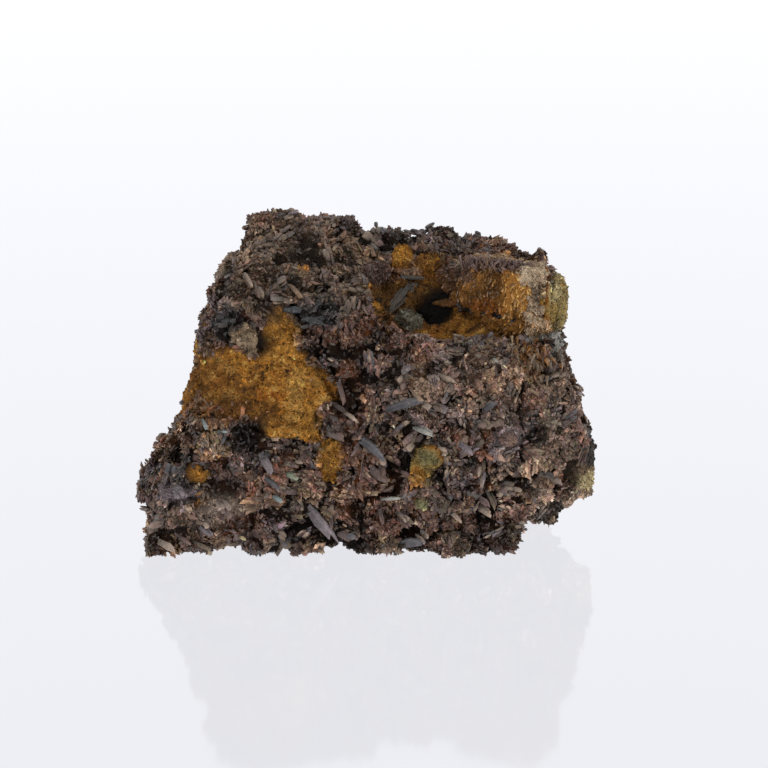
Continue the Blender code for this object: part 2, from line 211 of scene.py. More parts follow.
# Where the crust is thicker than the solid shows: centre and radii of the space, how far it moves the skin
# and the share of the radii over which that fades out.
FINE_SHIFTS = {
    "left_edge": ((-25.0, 12.0, 26.0), (8.0, 16.0, 16.0), (-1.0, 0.0, 0.0), 0.8),
    "toe_line": ((-6.0, -1.0, 0.0), (30.0, 5.0, 3.0), (0.0, -1.6, 0.0), 0.8),
    "heel_corner": ((15.8, 1.5, 1.0), (5.0, 5.0, 4.0), (0.8, -1.5, -1.4), 0.8),
    "heel_out": ((26.5, 8.0, 8.0), (5.0, 6.0, 5.0), (1.0, -0.3, -0.7), 0.8),
    "mass_side": ((25.6, 1.6, 10.5), (3.2, 4.8, 7.5), (-1.5, 0.3, 0.0), 0.9),
    "knob_top": ((25.0, 13.5, 35.8), (3.2, 6.0, 2.6), (-1.5, 0.0, -0.6), 1.0),
    "knob_foot": ((25.0, 11.0, 27.9), (3.2, 5.0, 2.2), (-1.5, 0.0, 0.2), 1.0),
    "rear_ridge": ((18.0, 20.0, 37.0), (9.0, 8.0, 4.0), (0.0, 0.0, 0.7), 0.8),
    "plateau_corner": ((-20.0, 10.0, 36.0), (6.0, 14.0, 5.0), (-1.2, 0.0, 0.2), 0.8),
}

# Places where the crust itself is smooth, or worn off to the ochre: centre and radii of each.
SMOOTH_PATCHES = {
    "left_rim": ((-25.6, 7.0, 25.0), (2.6, 6.5, 6.5)),
    "tongue_side": ((-9.4, 0.0, 17.6), (2.2, 3.0, 1.6)),
    "olive_patch": ((6.1, -2.4, 14.9), (2.0, 2.6, 1.8)),
    "olive_patch_low": ((4.8, -2.4, 13.1), (1.7, 2.6, 2.0)),
    "face_low": ((-13.2, 0.2, 18.6), (3.6, 3.0, 2.0)),
    "lilac_band": ((-27.6, -1.6, 9.6), (4.2, 4.0, 0.9)),
    "tan_band": ((-21.8, -2.2, 7.8), (3.6, 2.4, 1.7)),
    "slate_plate": ((16.4, -1.2, 16.9), (1.5, 2.0, 1.2)),
    "heel": ((27.6, 7.6, 9.4), (2.6, 4.4, 4.6)),
    "recess_left": ((-0.6, 13.5, 31.6), (3.2, 5.0, 3.6)),
    "recess_top": ((2.6, 18.6, 35.9), (1.9, 3.0, 2.0)),
    "recess_top_right": ((6.0, 18.6, 35.2), (2.0, 2.6, 1.2)),
}

# Places at the edge of the bare face where crystals have grown back over it: centre and radii of each.
COVERED_PATCHES = {
    "face_right_low": ((-6.3, 1.2, 18.9), (3.0, 3.4, 2.9)),
    "face_right": ((-4.6, 1.6, 22.6), (2.0, 3.4, 3.0)),
}

# Knobs that sit on the skin: middle, radii, turn about Z and lean to the back in degrees, how much their
# furrows are stretched up and down, their height, and the two tones that they are mottled in.
KNOBS_LAID = {
    "slab": ((14.6, 14.6, 32.5), (5.4, 3.0, 4.5), -22.0, 20.0, 2.5, 0.9, "slab_tan", "ochre_brown"),
    "slab_right": ((17.8, 12.9, 31.8), (3.2, 2.8, 4.6), -26.0, 24.0, 2.5, 0.9, "slab_tan", "ochre_brown"),
    "slab_foot": ((16.8, 11.2, 28.7), (3.6, 2.2, 1.4), -26.0, 10.0, 1.0, 0.7, "ochre_brown", "ochre"),
    "hole_tongue": ((8.3, 14.4, 30.6), (1.8, 0.8, 0.34), 0.0, 0.0, 1.0, 0.4, "dark_brown", "ochre_brown"),
    "column": ((20.3, 11.2, 32.3), (1.2, 2.2, 4.3), 0.0, 25.0, 1.2, 1.6, "fibre", "pale_brown"),
    "column_foot": ((20.2, 9.4, 29.2), (1.7, 1.6, 1.9), 0.0, 20.0, 1.2, 1.2, "fibre", "ochre"),
    "column_edge": ((21.7, 10.6, 32.2), (0.5, 1.8, 4.6), 0.0, 25.0, 2.0, 0.4, "ochre", "ochre_red"),
    "olive_knob": ((22.5, 12.9, 31.3), (2.1, 3.0, 4.0), 0.0, 10.0, 1.0, 0.35, "olive", "olive_pale"),
    "pale_knob": ((-18.4, 5.4, 29.0), (1.7, 1.5, 1.6), 20.0, 10.0, 0.8, 0.9, "knob_grey", "pale_brown"),
    "pale_knob_foot": ((-17.4, 4.6, 27.5), (0.7, 1.0, 1.2), 0.0, 0.0, 0.8, 0.5, "pale_brown", "knob_grey"),
    "purple_lump": ((-0.5, 17.0, 34.2), (1.2, 1.3, 1.4), 0.0, 0.0, 1.0, 0.6, "purple_brown", "dark_brown"),
    "purple_lump_left": (
        (-2.2, 15.8, 34.3), (1.2, 1.2, 1.2), 0.0, 0.0, 1.0, 0.6, "purple_brown", "dark_brown",
    ),
    "hole_brow": ((10.6, 17.0, 33.3), (2.9, 2.2, 2.0), 0.0, 10.0, 1.0, 0.9, "dark_brown", "purple_brown"),
    "grey_cluster": ((3.2, 13.2, 28.3), (1.6, 1.3, 1.0), 0.0, 0.0, 1.0, 0.9, "grey_green", "slate"),
    "waist_lump": ((21.8, 8.9, 27.0), (1.6, 1.7, 1.4), 0.0, 0.0, 1.0, 0.6, "pale_grey", "slate"),
    "olive_bead": ((5.0, -1.6, 8.1), (0.7, 0.7, 0.7), 0.0, 0.0, 1.0, 0.4, "olive_green", "olive_pale"),
}
# Grid lines on each side of the cube that a knob is blown up from: most knobs, and those seen best
KNOB_CUTS = 14
FINE_KNOBS = {"slab": 34, "slab_right": 30, "column": 30, "olive_knob": 22}
# Crystals that grow on some of the knobs: how many, their length, breadth and thickness from least to most,
# the furthest that they lean out in degrees, how far they stray from upright, and their two tones
CRUSTED = {
    "slab": (1300, (0.3, 0.9), (0.14, 0.36), (0.12, 0.3), 30.0, 0.5, "slab_tan", "ochre"),
    "slab_right": (900, (0.3, 1.0), (0.14, 0.36), (0.12, 0.3), 30.0, 0.4, "slab_tan", "ochre_pale"),
    "slab_foot": (160, (0.4, 1.0), (0.12, 0.3), (0.12, 0.3), 60.0, 1.5, "ochre_brown", "ochre"),
    "column": (800, (0.4, 1.2), (0.1, 0.28), (0.1, 0.26), 70.0, 0.6, "fibre", "pale_brown"),
    "column_foot": (360, (0.4, 1.1), (0.1, 0.28), (0.1, 0.26), 60.0, 0.7, "fibre", "slab_tan"),
    "olive_knob": (420, (0.2, 0.5), (0.15, 0.35), (0.1, 0.2), 60.0, 3.0, "olive", "olive_pale"),
    "hole_brow": (300, (0.35, 1.0), (0.2, 0.42), (0.16, 0.34), 70.0, 1.0, "purple_brown", "dark_brown"),
    "purple_lump": (140, (0.35, 0.9), (0.2, 0.42), (0.16, 0.34), 70.0, 3.0, "purple_brown", "dark_brown"),
    "purple_lump_left": (
        130, (0.35, 0.9), (0.2, 0.42), (0.16, 0.34), 70.0, 3.0, "purple_brown", "dark_brown",
    ),
    "grey_cluster": (160, (0.3, 0.8), (0.2, 0.42), (0.16, 0.34), 70.0, 3.0, "grey_green", "slate"),
    "waist_lump": (150, (0.35, 0.9), (0.2, 0.42), (0.16, 0.34), 70.0, 3.0, "pale_grey", "slate"),
    "pale_knob": (60, (0.25, 0.6), (0.2, 0.42), (0.16, 0.34), 50.0, 3.0, "knob_grey", "pale_brown"),
}
# The power of a knob's rounded box, and its furrows as size and height
KNOB_POWER = 2.4
KNOB_FURROWS = ((2.6, 0.55), (1.2, 0.5), (0.6, 0.35), (0.35, 0.2))
KNOB_SEED = 100
KNOB_SEED_STEP = 5
# How the tone and the painted shade on a knob change from furrow to ridge: steepness and start
KNOB_MOTTLE = (1.1, 0.6)
KNOB_RIDGES = (1.0, 0.55)
KNOB_LIGHT = (0.6, 0.5)
KNOB_BARE = 0.8
# The same for the crystals on it, how far they stand out of it and how they roll
KNOB_CRYSTAL_RIDGES = (1.0, 0.5)
KNOB_CRYSTAL_LIGHT = (0.55, 0.6)
KNOB_CRYSTAL_OUT = 0.2
KNOB_CRYSTAL_ROLL = 0.6
# The knobs' colours are drawn on a sheet with this many places each way
KNOB_SHEET = 5

# Lines on the stone: points that each runs through, half its width, its tone and how strong that is, and
# how far the skin stands up or is cut in along it.
LINES = {
    "bar_foot": (((0.3, 13.4, 30.4), (0.2, 11.8, 29.0)), 0.6, "bar", 0.8, 0.2),
    "bar_short": (((-0.7, 13.9, 31.2), (-1.3, 12.0, 29.6)), 0.6, "bar_dark", 0.9, 0.2),
    # crack, lip and face_right_edge: cut in, with painted shade in the crevice tone
    "crack": (((9.8, 14.5, 30.2), (14.2, 12.0, 29.9), (17.7, 9.7, 29.4)), 0.5, "crevice", 1.0, -0.8),
    "lip": (
        ((9.6, -2.8, 10.6), (14.0, -1.2, 10.2), (18.4, 0.2, 10.7), (22.4, 0.6, 11.6)),
        0.6, "crevice", 0.8, -0.9,
    ),
    "face_right_edge": (
        ((-10.6, 4.2, 27.6), (-7.6, 2.6, 23.6), (-5.6, 1.2, 20.6)), 0.6, "crevice", 0.6, -0.5,
    ),
    "slab_top": (((10.5, 16.4, 36.0), (15.6, 14.6, 36.6), (20.0, 12.4, 37.0)), 1.7, "fibre", 0.6, 0.0),
    "left_rim": (((-22.6, 4.6, 30.2), (-25.2, 3.6, 24.4), (-27.0, 3.0, 19.6)), 0.5, "pale_brown", 0.6, 0.3),
}
# How steeply the skin's move and the tone fade away from a line
LINE_STEEPNESS = 1.5
LINE_TONE_STEEPNESS = 2.0

# Tones, as sRGB from 0 to 255.
TONES = {
    "purple_brown": (112, 88, 80),
    "grey_brown": (110, 92, 72),
    "pink_tan": (160, 139, 121),
    "slate": (95, 91, 93),
    "dark_brown": (68, 48, 36),
    "rust": (128, 72, 28),
    "matrix": (40, 27, 19),
    # crevice: near-black, painted shade in gaps, holes, cracks and crevices
    "crevice": (16, 10, 7),
    "ochre": (192, 132, 54),
    "ochre_brown": (128, 86, 42),
    "ochre_bright": (212, 156, 72),
    "ochre_pale": (236, 184, 100),
    "ochre_red": (176, 96, 22),
    "slab_tan": (178, 122, 58),
    "bar": (70, 58, 44),
    "bar_dark": (48, 46, 42),
    # dust: a pale tan, also used as painted light on the right edge and on the heel's underside
    "dust_and_painted_light": (142, 124, 110),
    "fibre": (206, 182, 152),
    "pale_brown": (150, 120, 92),
    "pale_grey": (164, 160, 150),
    "pale_blue": (146, 158, 156),
    "pale_green": (158, 164, 138),
    "olive": (166, 142, 84),
    "olive_green": (122, 118, 84),
    "olive_pale": (212, 194, 144),
    "lilac": (128, 115, 117),
    "slate_dark": (46, 47, 50),
    "knob_grey": (158, 136, 110),
    "shadow": (34, 30, 32),
    "grey_green": (118, 116, 100),
    "grey_tan": (132, 112, 92),
    "olive_dull": (150, 126, 72),
}

# Stains, regions and patches of painted light and shade: middle, radii, tone and how strong it is there.
STAINS_AND_PAINTED_LIGHT = {
    "mass_pink": ((12.0, -1.0, 24.0), (15.0, 10.0, 7.0), "pink_tan", 0.25),
    "plateau_grey": ((-12.0, 14.0, 36.0), (15.0, 16.0, 7.0), "grey_tan", 0.45),
    "rear_ridge": ((9.0, 23.0, 36.0), (14.0, 6.0, 4.0), "dark_brown", 0.45),
    "rust_beside_face": ((-4.6, 1.6, 21.6), (3.4, 4.0, 5.6), "rust", 0.4),
    "rust_under_face": ((-3.0, -0.8, 15.0), (5.0, 3.0, 3.6), "rust", 0.3),
    "foot_pink": ((-26.0, -1.8, 5.0), (6.0, 4.0, 3.0), "pink_tan", 0.35),
    "face_apex": ((-13.0, 4.6, 30.0), (2.6, 3.6, 3.8), "ochre_bright", 0.4),
    "face_bright": ((-10.6, 2.8, 21.8), (3.6, 4.0, 5.4), "ochre_bright", 0.45),
    "face_bright_low": ((-13.4, 1.4, 18.4), (3.4, 4.0, 1.6), "ochre_bright", 0.15),
    # face_ridge and face_ridge_foot: painted highlight along the ridge of the ochre face
    "face_ridge": ((-11.8, 2.8, 21.2), (1.5, 4.0, 4.4), "ochre_pale", 0.5),
    "face_ridge_foot": ((-10.2, 1.6, 17.6), (2.2, 3.0, 1.5), "ochre_pale", 0.1),
    "face_foot": ((-7.0, -0.6, 14.4), (2.4, 2.6, 2.8), "ochre_bright", 0.4),
    "face_brown": ((-22.0, 3.0, 22.0), (4.0, 4.5, 7.0), "ochre_brown", 0.55),
    "face_brown_low": ((-19.0, 1.6, 19.6), (6.0, 3.5, 1.8), "ochre_brown", 0.6),
    "shadow_recess": ((-20.7, 5.1, 31.2), (2.9, 3.4, 2.4), "shadow", 0.85),
    # slot: painted shade in the slot, in the matrix's tone
    "slot": ((-18.6, -0.4, 16.9), (1.9, 3.0, 2.9), "matrix", 0.85),
    "pale_knob": ((-18.1, 4.6, 28.8), (1.9, 2.4, 1.9), "knob_grey", 0.9),
    "slate_crystals": ((-9.2, 6.0, 32.2), (4.8, 4.4, 2.4), "slate_dark", 0.85),
    "recess": ((7.0, 15.0, 31.0), (13.0, 8.0, 6.0), "ochre_brown", 0.5),
    "recess_shade": ((2.6, 14.0, 31.4), (5.4, 6.0, 4.0), "dark_brown", 0.55),
    # hole_brow: partly the crust's dark brown, partly painted shade over the vug
    "hole_brow": ((10.6, 16.6, 32.4), (2.4, 2.6, 1.3), "dark_brown", 0.85),
    "slab_red": ((14.4, 12.8, 31.0), (3.4, 4.0, 1.3), "ochre_red", 0.55),
    "slab_brow": ((10.4, 14.0, 35.2), (1.8, 4.0, 1.6), "purple_brown", 0.7),
    "purple_lumps": ((-1.2, 16.2, 34.4), (2.4, 2.6, 1.8), "purple_brown", 0.85),
    "grey_cluster": ((3.3, 12.9, 28.7), (2.2, 2.2, 1.6), "grey_green", 0.8),
    "olive_knob": ((23.2, 12.0, 31.4), (3.0, 4.6, 4.6), "olive", 0.85),
    "olive_knob_pale": ((22.6, 10.8, 33.6), (1.4, 2.6, 1.8), "olive_pale", 0.6),
    "waist": ((22.4, 8.4, 27.0), (2.4, 3.4, 1.8), "pale_grey", 0.6),
    "ridges": ((19.6, 3.6, 26.6), (2.6, 4.0, 3.4), "ochre_brown", 0.45),
    "olive_patch": ((5.2, -2.7, 13.8), (2.9, 3.0, 3.6), "olive_dull", 0.95),
    "olive_patch_low": ((4.4, -2.7, 12.2), (1.8, 2.0, 1.7), "ochre", 0.7),
    "olive_patch_high": ((6.1, -2.7, 15.2), (1.9, 2.0, 1.7), "olive_green", 0.7),
    "olive_bead": ((5.0, -2.1, 8.1), (1.0, 1.6, 1.0), "olive_green", 0.85),
    "left_rim": ((-26.6, 7.0, 25.0), (3.0, 7.0, 8.0), "ochre_brown", 0.7),
    "lilac_band": ((-27.4, -1.8, 9.5), (5.4, 4.4, 1.6), "lilac", 1.0),
    "tan_band": ((-21.8, -2.2, 7.8), (4.6, 3.0, 2.4), "dust_and_painted_light", 1.0),
    "tan_band_grey": ((-20.6, -2.2, 6.8), (1.6, 3.0, 1.2), "purple_brown", 0.8),
    "slate_plate": ((16.4, -1.2, 16.9), (2.6, 2.6, 2.1), "lilac", 0.75),
    "plateau_spot": ((-10.8, 12.3, 36.6), (0.9, 1.6, 1.2), "ochre", 0.9),
    # shoulder_edge and mass_edge: partly paler crust, partly painted light on the right edge
    "shoulder_edge": ((24.6, 5.0, 22.6), (3.6, 6.0, 5.5), "dust_and_painted_light", 0.4),
    "mass_edge": ((22.2, 0.5, 13.0), (3.2, 4.2, 9.0), "dust_and_painted_light", 0.7),
    "heel": ((27.4, 7.6, 9.6), (4.2, 6.0, 6.4), "grey_tan", 0.95),
    # heel_tan: partly tan, partly painted light on the heel's underside
    "heel_tan": ((23.8, 6.0, 4.0), (6.4, 7.0, 4.6), "dust_and_painted_light", 0.9),
    "heel_green": ((27.2, 7.4, 8.4), (2.6, 3.8, 1.9), "olive_pale", 0.7),
    "heel_dark": ((27.4, 7.6, 12.2), (3.2, 4.8, 2.6), "slate_dark", 0.85),
}
TINT_PATCH_EDGE = 0.35
TINT_PATCH_WAVES = ((2.2, 0.2), (0.9, 0.2), (0.5, 0.12))
TINT_PATCH_SEED = 70

# The noises that mottle the ochre: size and height of each wave, and seed. Slanting streaks are added to
# the broad one, in a frame that is stretched along them: size, height and seed.
OCHRE_NOISES = {
    "broad": (((5.5, 0.25), (2.1, 0.25), (0.9, 0.45), (0.45, 0.5)), 80),
    "red": (((3.1, 0.6), (1.2, 0.5)), 86),
    "flecks": (((0.8, 0.7), (0.4, 0.5)), 94),
}
STREAK_FRAME = ((0.55, 0.0, 0.2), (0.0, 0.6, 0.0), (-0.9, 0.0, 2.2))
STREAKS = (1.6, 0.35, 84)
# The tones laid over its brown, one after the other: how strong each is, the noise that brings it in, and
# how steeply and from where it does.
OCHRE_TONES = (
    ("ochre", 1.0, "broad", 0.9, 0.8),
    ("ochre_bright", 0.8, "broad", 1.5, -0.25),
    ("ochre_red", 0.5, "red", 2.0, -0.5),
    ("matrix", 0.85, "flecks", 3.0, -1.1),
    ("ochre_pale", 0.9, "flecks", -3.0, -0.9),
)
# Rust on the crust: size and height of each wave, how steeply and from where it comes in, and how strong it
# is at most on the matrix and on a crystal, of which each crystal takes a share
RUST_WAVES = ((4.4, 0.7), (1.6, 0.5))
RUST_SEED = 90
RUST_FROM = (1.6, 0.1)
MATRIX_RUST = 0.5
CRYSTAL_RUST = 0.45
RUST_SHARES = (0.2, 1.0)

# How far the painted shade in a hole reaches, as a share of its own radius, and how dark it is
HOLE_PAINTED_SHADE = {
    "vug": (1.1, 1.0),
    "shadow": (0.95, 0.95),
    "slot": (1.1, 0.85),
    "plateau_pit": (1.1, 0.9),
    "plateau_pit_left": (1.1, 0.7),
    "mass_pit": (1.1, 0.7),
    "left_pit_low": (0.8, 0.6),
}
HOLE_STEEPNESS = 2.0
# How far painted shade darkens the matrix and the crystals deep in a gap, and the crystals in a hole
GAP_SHADE = 0.8
CRYSTAL_GAP_SHADE = 0.72
CRYSTAL_HOLE_SHADE = 0.92

# Crystals of the crust. Each set's number of places tried, length, breadth and thickness from least to
# most, lean from the skin in degrees, and the share of the length that is sunk.
CRYSTAL_SETS = {
    "crystals_medium": (19000, (1.0, 2.7), (0.4, 0.95), (0.16, 0.4), (0.0, 50.0), 0.5),
    "crystals_fine": (215000, (0.4, 1.05), (0.22, 0.55), (0.2, 0.45), (5.0, 75.0), 0.42),
}
FINE_PIECES = 4
# How far places stray, as a share of the distance between them, and how many more are tried than needed
PLACE_STRAY = 1.2
SPARE_PLACES = 0.9
# Crystals thin out where the crust is this bare and keep off the surface that the stone stands on
THINNED_WHERE_BARE = (0.1, 0.8)
LOWEST_CRYSTAL = 0.15
# How far a crystal strays from its cluster: turn, and roll in an orderly cluster and more in a loose one
TURN_STRAY = 1.3
ROLL_STRAY = (0.3, 0.9)
SPREAD_STRAY = 0.3
MOST_SKEW = 0.5
SIZE_SHARES = (0.8, 1.15)
# Crystals this deep in a gap are smaller
DEEP_GAP = 0.3
SIZE_IN_GAPS = 0.8
# Breadth of a wedge's tip as a share of its root's, for the fine crystals and for the rest
FINE_TIP = (0.4, 1.1)
OTHER_TIP = 0.8
# The share of crystals that catch the light, and how much brighter they are
GLINTS = 0.08
GLINT_BRIGHTNESS = 0.8
CLUSTER_VARIETY = 0.3
CRYSTAL_VARIETY = 0.26
HUE_VARIETY = 0.05
# Share of red, green and blue that the crust's light keeps under its brownish film
CRUST_TINGE = (1.01, 0.93, 0.85)
CRYSTAL_SEEDS = {"crystals_medium": 11, "crystals_fine": 12}
CLUSTERS = 900
CLUSTER_SEED = 13
CLUSTER_STRAY = 0.05
CLUSTER_DISORDER = (0.15, 1.0)
# The shares of clusters whose crystals spread from the middle, and of crystals of their cluster's kind
SPREADING = 0.22
OF_ONE_KIND = 0.65
# Kinds of crystal by tone, and the share of each
CRYSTAL_KINDS = {
    "purple_brown": 0.34,
    "grey_brown": 0.18,
    "pink_tan": 0.17,
    "slate": 0.12,
    "lilac": 0.07,
    "dark_brown": 0.12,
}
KEPT_IN_GAPS = 0.15
# The share of a crystal's tint left at its root: partly dirt between the crystals, partly painted shade
# where they sink into the crust
ROOT_SHADE = 0.35

# A wedge's corners, as shares of its half-edges: four at the root and two at the sharp tip. Its faces look
# out.
WEDGE = (
    (-1.0, -1.0, -1.0), (-1.0, -1.0, 1.0), (-1.0, 1.0, -1.0), (-1.0, 1.0, 1.0),
    (1.0, -1.0, 0.0), (1.0, 1.0, 0.0),
)
WEDGE_QUADS = ((0, 1, 3, 2), (0, 2, 5, 4), (1, 4, 5, 3))
WEDGE_ENDS = ((0, 4, 1), (2, 3, 5))

# Outlines of a plate's broad face, from its root at -1 to its tip at 1, how far each plate's own differs,
# and the share left inside the bevel
BLADE_OUTLINE = ((-1.0, -0.8), (0.1, -1.0), (1.0, -0.75), (0.8, 0.35), (0.2, 1.0), (-1.0, 0.85))
RHOMB_OUTLINE = ((-1.0, -0.9), (0.7, -1.0), (1.0, 0.55), (-0.8, 1.0))
OUTLINE_SHARES = (0.78, 1.12)
BEVEL = 0.74

# Blades laid one by one: both ends, breadth, tone and lift of the far end.
LAID_BLADES = {
    "recess_bar": ((4.3, 16.8, 34.2), (0.3, 13.0, 30.3), 2.0, "bar", 0.2),
    "recess_bar_side": ((4.0, 16.8, 34.3), (0.5, 13.2, 30.6), 1.7, "bar", 0.35),
    "recess_bar_low": ((2.6, 15.0, 32.3), (0.1, 12.6, 29.8), 1.6, "bar", 0.3),
    "recess_bar_top": ((2.6, 17.0, 34.9), (6.2, 17.2, 34.6), 0.8, "bar", 0.3),
    "slate_long": ((-0.1, -0.9, 20.8), (5.4, -2.0, 23.2), 1.5, "slate", 0.3),
    "slate_low": ((-3.4, -0.8, 17.3), (0.5, -1.5, 14.4), 1.6, "slate", 0.4),
    "pale_lath": ((3.7, -2.2, 19.2), (6.9, -2.7, 18.2), 1.0, "pale_grey", 0.5),
    "bottom_plate": ((1.6, -0.9, 1.0), (6.1, -1.6, 2.0), 2.2, "slate", 0.2),
    "diagonal_lath": ((-10.6, -1.6, 8.0), (-6.2, -0.8, 2.4), 2.0, "lilac", 0.5),
    "green_chip": ((-13.3, -2.0, 12.3), (-11.4, -2.0, 11.6), 1.0, "pale_green", 0.5),
    "blue_chip": ((-24.0, 0.8, 19.2), (-23.1, 0.0, 17.6), 0.7, "pale_blue", 0.4),
    "blue_chip_low": ((-22.7, -0.2, 17.4), (-20.9, -0.4, 17.8), 0.6, "pale_blue", 0.4),
    "blue_chip_right": ((-14.7, -2.3, 9.4), (-13.4, -2.1, 8.5), 0.9, "pale_blue", 0.3),
    "lilac_blade": ((-16.6, -1.6, 14.9), (-14.9, -2.6, 12.4), 1.5, "lilac", 0.5),
    "grey_blade": ((-15.9, -2.2, 11.9), (-13.6, -2.6, 10.3), 1.0, "slate", 0.5),
    "grey_wedge": ((-2.0, -1.3, 12.8), (0.9, -1.4, 10.6), 2.0, "purple_brown", 0.5),
    "low_lath": ((-0.4, -1.4, 8.3), (2.6, -2.0, 9.0), 0.8, "pale_grey", 0.4),
    "upright_lath": ((-0.7, -1.6, 7.1), (-0.1, -1.7, 4.7), 0.9, "purple_brown", 0.5),
    "brow_blade": ((-12.4, 8.3, 35.3), (-10.6, 6.2, 33.2), 1.0, "pale_brown", 0.6),
    "dark_blade": ((-13.2, 5.6, 32.9), (-10.6, 5.6, 32.6), 1.1, "slate_dark", 0.5),
    "dark_blade_low": ((-11.3, 5.2, 31.7), (-7.4, 4.6, 30.9), 1.2, "slate_dark", 0.4),
    "notch_chip": ((-19.9, -1.8, 2.9), (-18.6, -1.9, 2.5), 0.7, "olive_pale", 0.3),
    "white_chip": ((14.4, 1.7, 27.4), (15.1, 1.4, 26.8), 0.6, "pale_grey", 0.3),
    "mass_blade": ((9.6, -2.6, 17.2), (11.8, -2.4, 15.6), 1.1, "lilac", 0.4),
    "mass_blade_high": ((7.2, -0.6, 25.6), (9.6, -0.8, 24.6), 1.0, "pink_tan", 0.5),
    "right_blade": ((12.6, -0.8, 20.8), (14.6, -0.8, 22.4), 1.1, "slate", 0.4),
    "foot_blade": ((8.6, -1.8, 6.8), (10.6, -1.6, 5.0), 1.2, "pink_tan", 0.4),
    "face_edge_blade": ((-6.0, 1.2, 24.6), (-5.0, 0.6, 21.0), 1.0, "purple_brown", 0.6),
    "face_lath": ((-7.6, 1.3, 19.6), (-4.8, 0.6, 18.4), 1.2, "dark_brown", 0.5),
    "face_lath_low": ((-7.2, 0.5, 17.7), (-4.8, 0.0, 17.1), 1.1, "purple_brown", 0.5),
    "face_lath_dark": ((-6.8, 1.6, 21.2), (-4.2, 1.0, 19.8), 1.0, "dark_brown", 0.5),
    "lip_blade": ((12.8, -0.2, 7.8), (15.2, 0.2, 6.0), 1.4, "purple_brown", 0.5),
    "lip_blade_low": ((13.4, 0.0, 5.8), (15.6, 0.6, 4.2), 1.4, "pink_tan", 0.5),
    "lip_blade_high": ((14.4, 0.4, 8.6), (15.8, 0.6, 5.8), 1.1, "grey_brown", 0.5),
    "corner_plate": ((-29.8, -1.8, 3.0), (-27.2, -1.8, 1.8), 1.6, "pink_tan", 0.4),
    "corner_blade": ((-27.8, -1.8, 3.8), (-25.2, -1.8, 2.4), 1.3, "purple_brown", 0.5),
    "corner_low": ((-26.4, -1.8, 1.8), (-24.0, -1.8, 1.0), 1.2, "grey_brown", 0.4),
    "corner_high": ((-25.0, -1.9, 4.6), (-23.0, -1.9, 3.2), 1.2, "lilac", 0.5),
    "face_edge_blade_low": ((-5.4, 0.4, 20.4), (-3.2, -0.2, 19.2), 0.9, "pink_tan", 0.6),
}
LAID_THICKNESS = 0.6
LAID_OUT = 0.12
# The solid's blades and those laid one by one are bundles of laths: how many, how far they stray along,
# across and through the blade, and their sizes, as shares of its own.
SOLID_LATHS = (9, (0.65, 0.7, 0.9), ((0.25, 0.6), (0.25, 0.6), (0.2, 0.45)))
LAID_LATHS = (4, (0.15, 0.35, 0.6), ((0.6, 0.95), (0.35, 0.8), (0.25, 0.5)))
SOLID_LATH_VARIETY = 0.15
LAID_LATH_VARIETY = 0.12

# Bundles of thin fibres: the line that they stand along, how far they stray from it, the way that they run,
# how many there are, their length and breadth from least to most, and their tone.
FIBRES = {
    "crest": (
        ((10.2, 15.2, 35.9), (15.4, 13.2, 36.3), (19.6, 11.4, 36.3)), 0.4, (0.1, -0.8, -0.7),
        240, (0.5, 1.4), (0.18, 0.4), "purple_brown",
    ),
    "crest_pale": (
        ((11.6, 14.8, 35.7), (20.2, 11.2, 36.0)), 0.4, (0.1, -0.8, -0.7),
        110, (0.5, 1.3), (0.15, 0.35), "pale_brown",
    ),
    # near-black fibres along the crack: painted shade
    "crack": (
        ((9.8, 13.9, 30.4), (14.2, 11.4, 30.1), (17.7, 9.1, 29.6)), 0.16, (1.0, -0.6, 0.0),
        90, (0.4, 1.1), (0.2, 0.4), "crevice",
    ),
    "ridges": (
        ((17.6, 4.4, 27.6), (21.4, 4.6, 25.6)), 1.0, (0.2, -0.25, -1.0),
        90, (0.6, 1.4), (0.2, 0.4), "ochre_brown",
    ),
    "ridges_grey": (
        ((17.4, 3.8, 27.0), (20.6, 3.2, 24.6)), 1.2, (0.2, -0.25, -1.0),
        90, (0.6, 1.4), (0.2, 0.4), "grey_brown",
    ),
}
FIBRE_DISORDER = 0.45
FIBRE_VARIETY = 0.3
FIBRE_SEED = 21

# Grains of ochre on the bare patches: places tried, radius from least to most, height as a share of that,
# how bare the skin is that they sit on and how little painted shade it has, the lowest of them, and how
# their brightness varies.
GRAINS = 90000
GRAIN_RADIUS = (0.1, 0.26)
GRAIN_HEIGHT = 0.8
GRAIN_LEAST_BARE = 0.6
GRAIN_MOST_DARK = 0.2
LOWEST_GRAIN = 0.4
GRAIN_BRIGHTNESS = (0.05, 0.3)
GRAIN_SPREAD_SEED = 22

# Sheets that colours are drawn on: the margin left round each face's cell and round each side of a cube
CELL_MARGIN = 0.1
SIDE_MARGIN = 0.01
# Corners of a cube's sides are welded where their rays agree to this many decimals
WELD_DECIMALS = 7
# Points that are compared with the clusters at a time, and the aims taken at a place on the skin
POINTS_AT_A_TIME = 4000
AIMS = 5


def lattice_noise(points, size, seed):
    """Smooth random values from -1 to 1. Each corner of a cubic lattice of this size has one random
    number, hashed from its whole-number place, and the values between are eased from corner to corner."""
    scaled = points / size
    corner = np.floor(scaled)
    part = scaled - corner
    ease = part * part * part * (part * (part * 6.0 - 15.0) + 10.0)
    corner = corner.astype(np.int64)
    total = np.zeros(len(points))
    for step in np.ndindex(2, 2, 2):
        x, y, z = (corner + step).T
        mixed = (x * 374761393 + y * 668265263 + z * 1440662683 + seed * 974634777) & 0xFFFFFFFF
        mixed = ((mixed ^ (mixed >> 13)) * 1274126177) & 0xFFFFFFFF
        mixed = (mixed ^ (mixed >> 16)) & 0xFFFF
        share = np.prod(np.where(np.array(step) == 1, ease, 1.0 - ease), axis=1)
        total += share * (mixed / 32767.5 - 1.0)
    return total


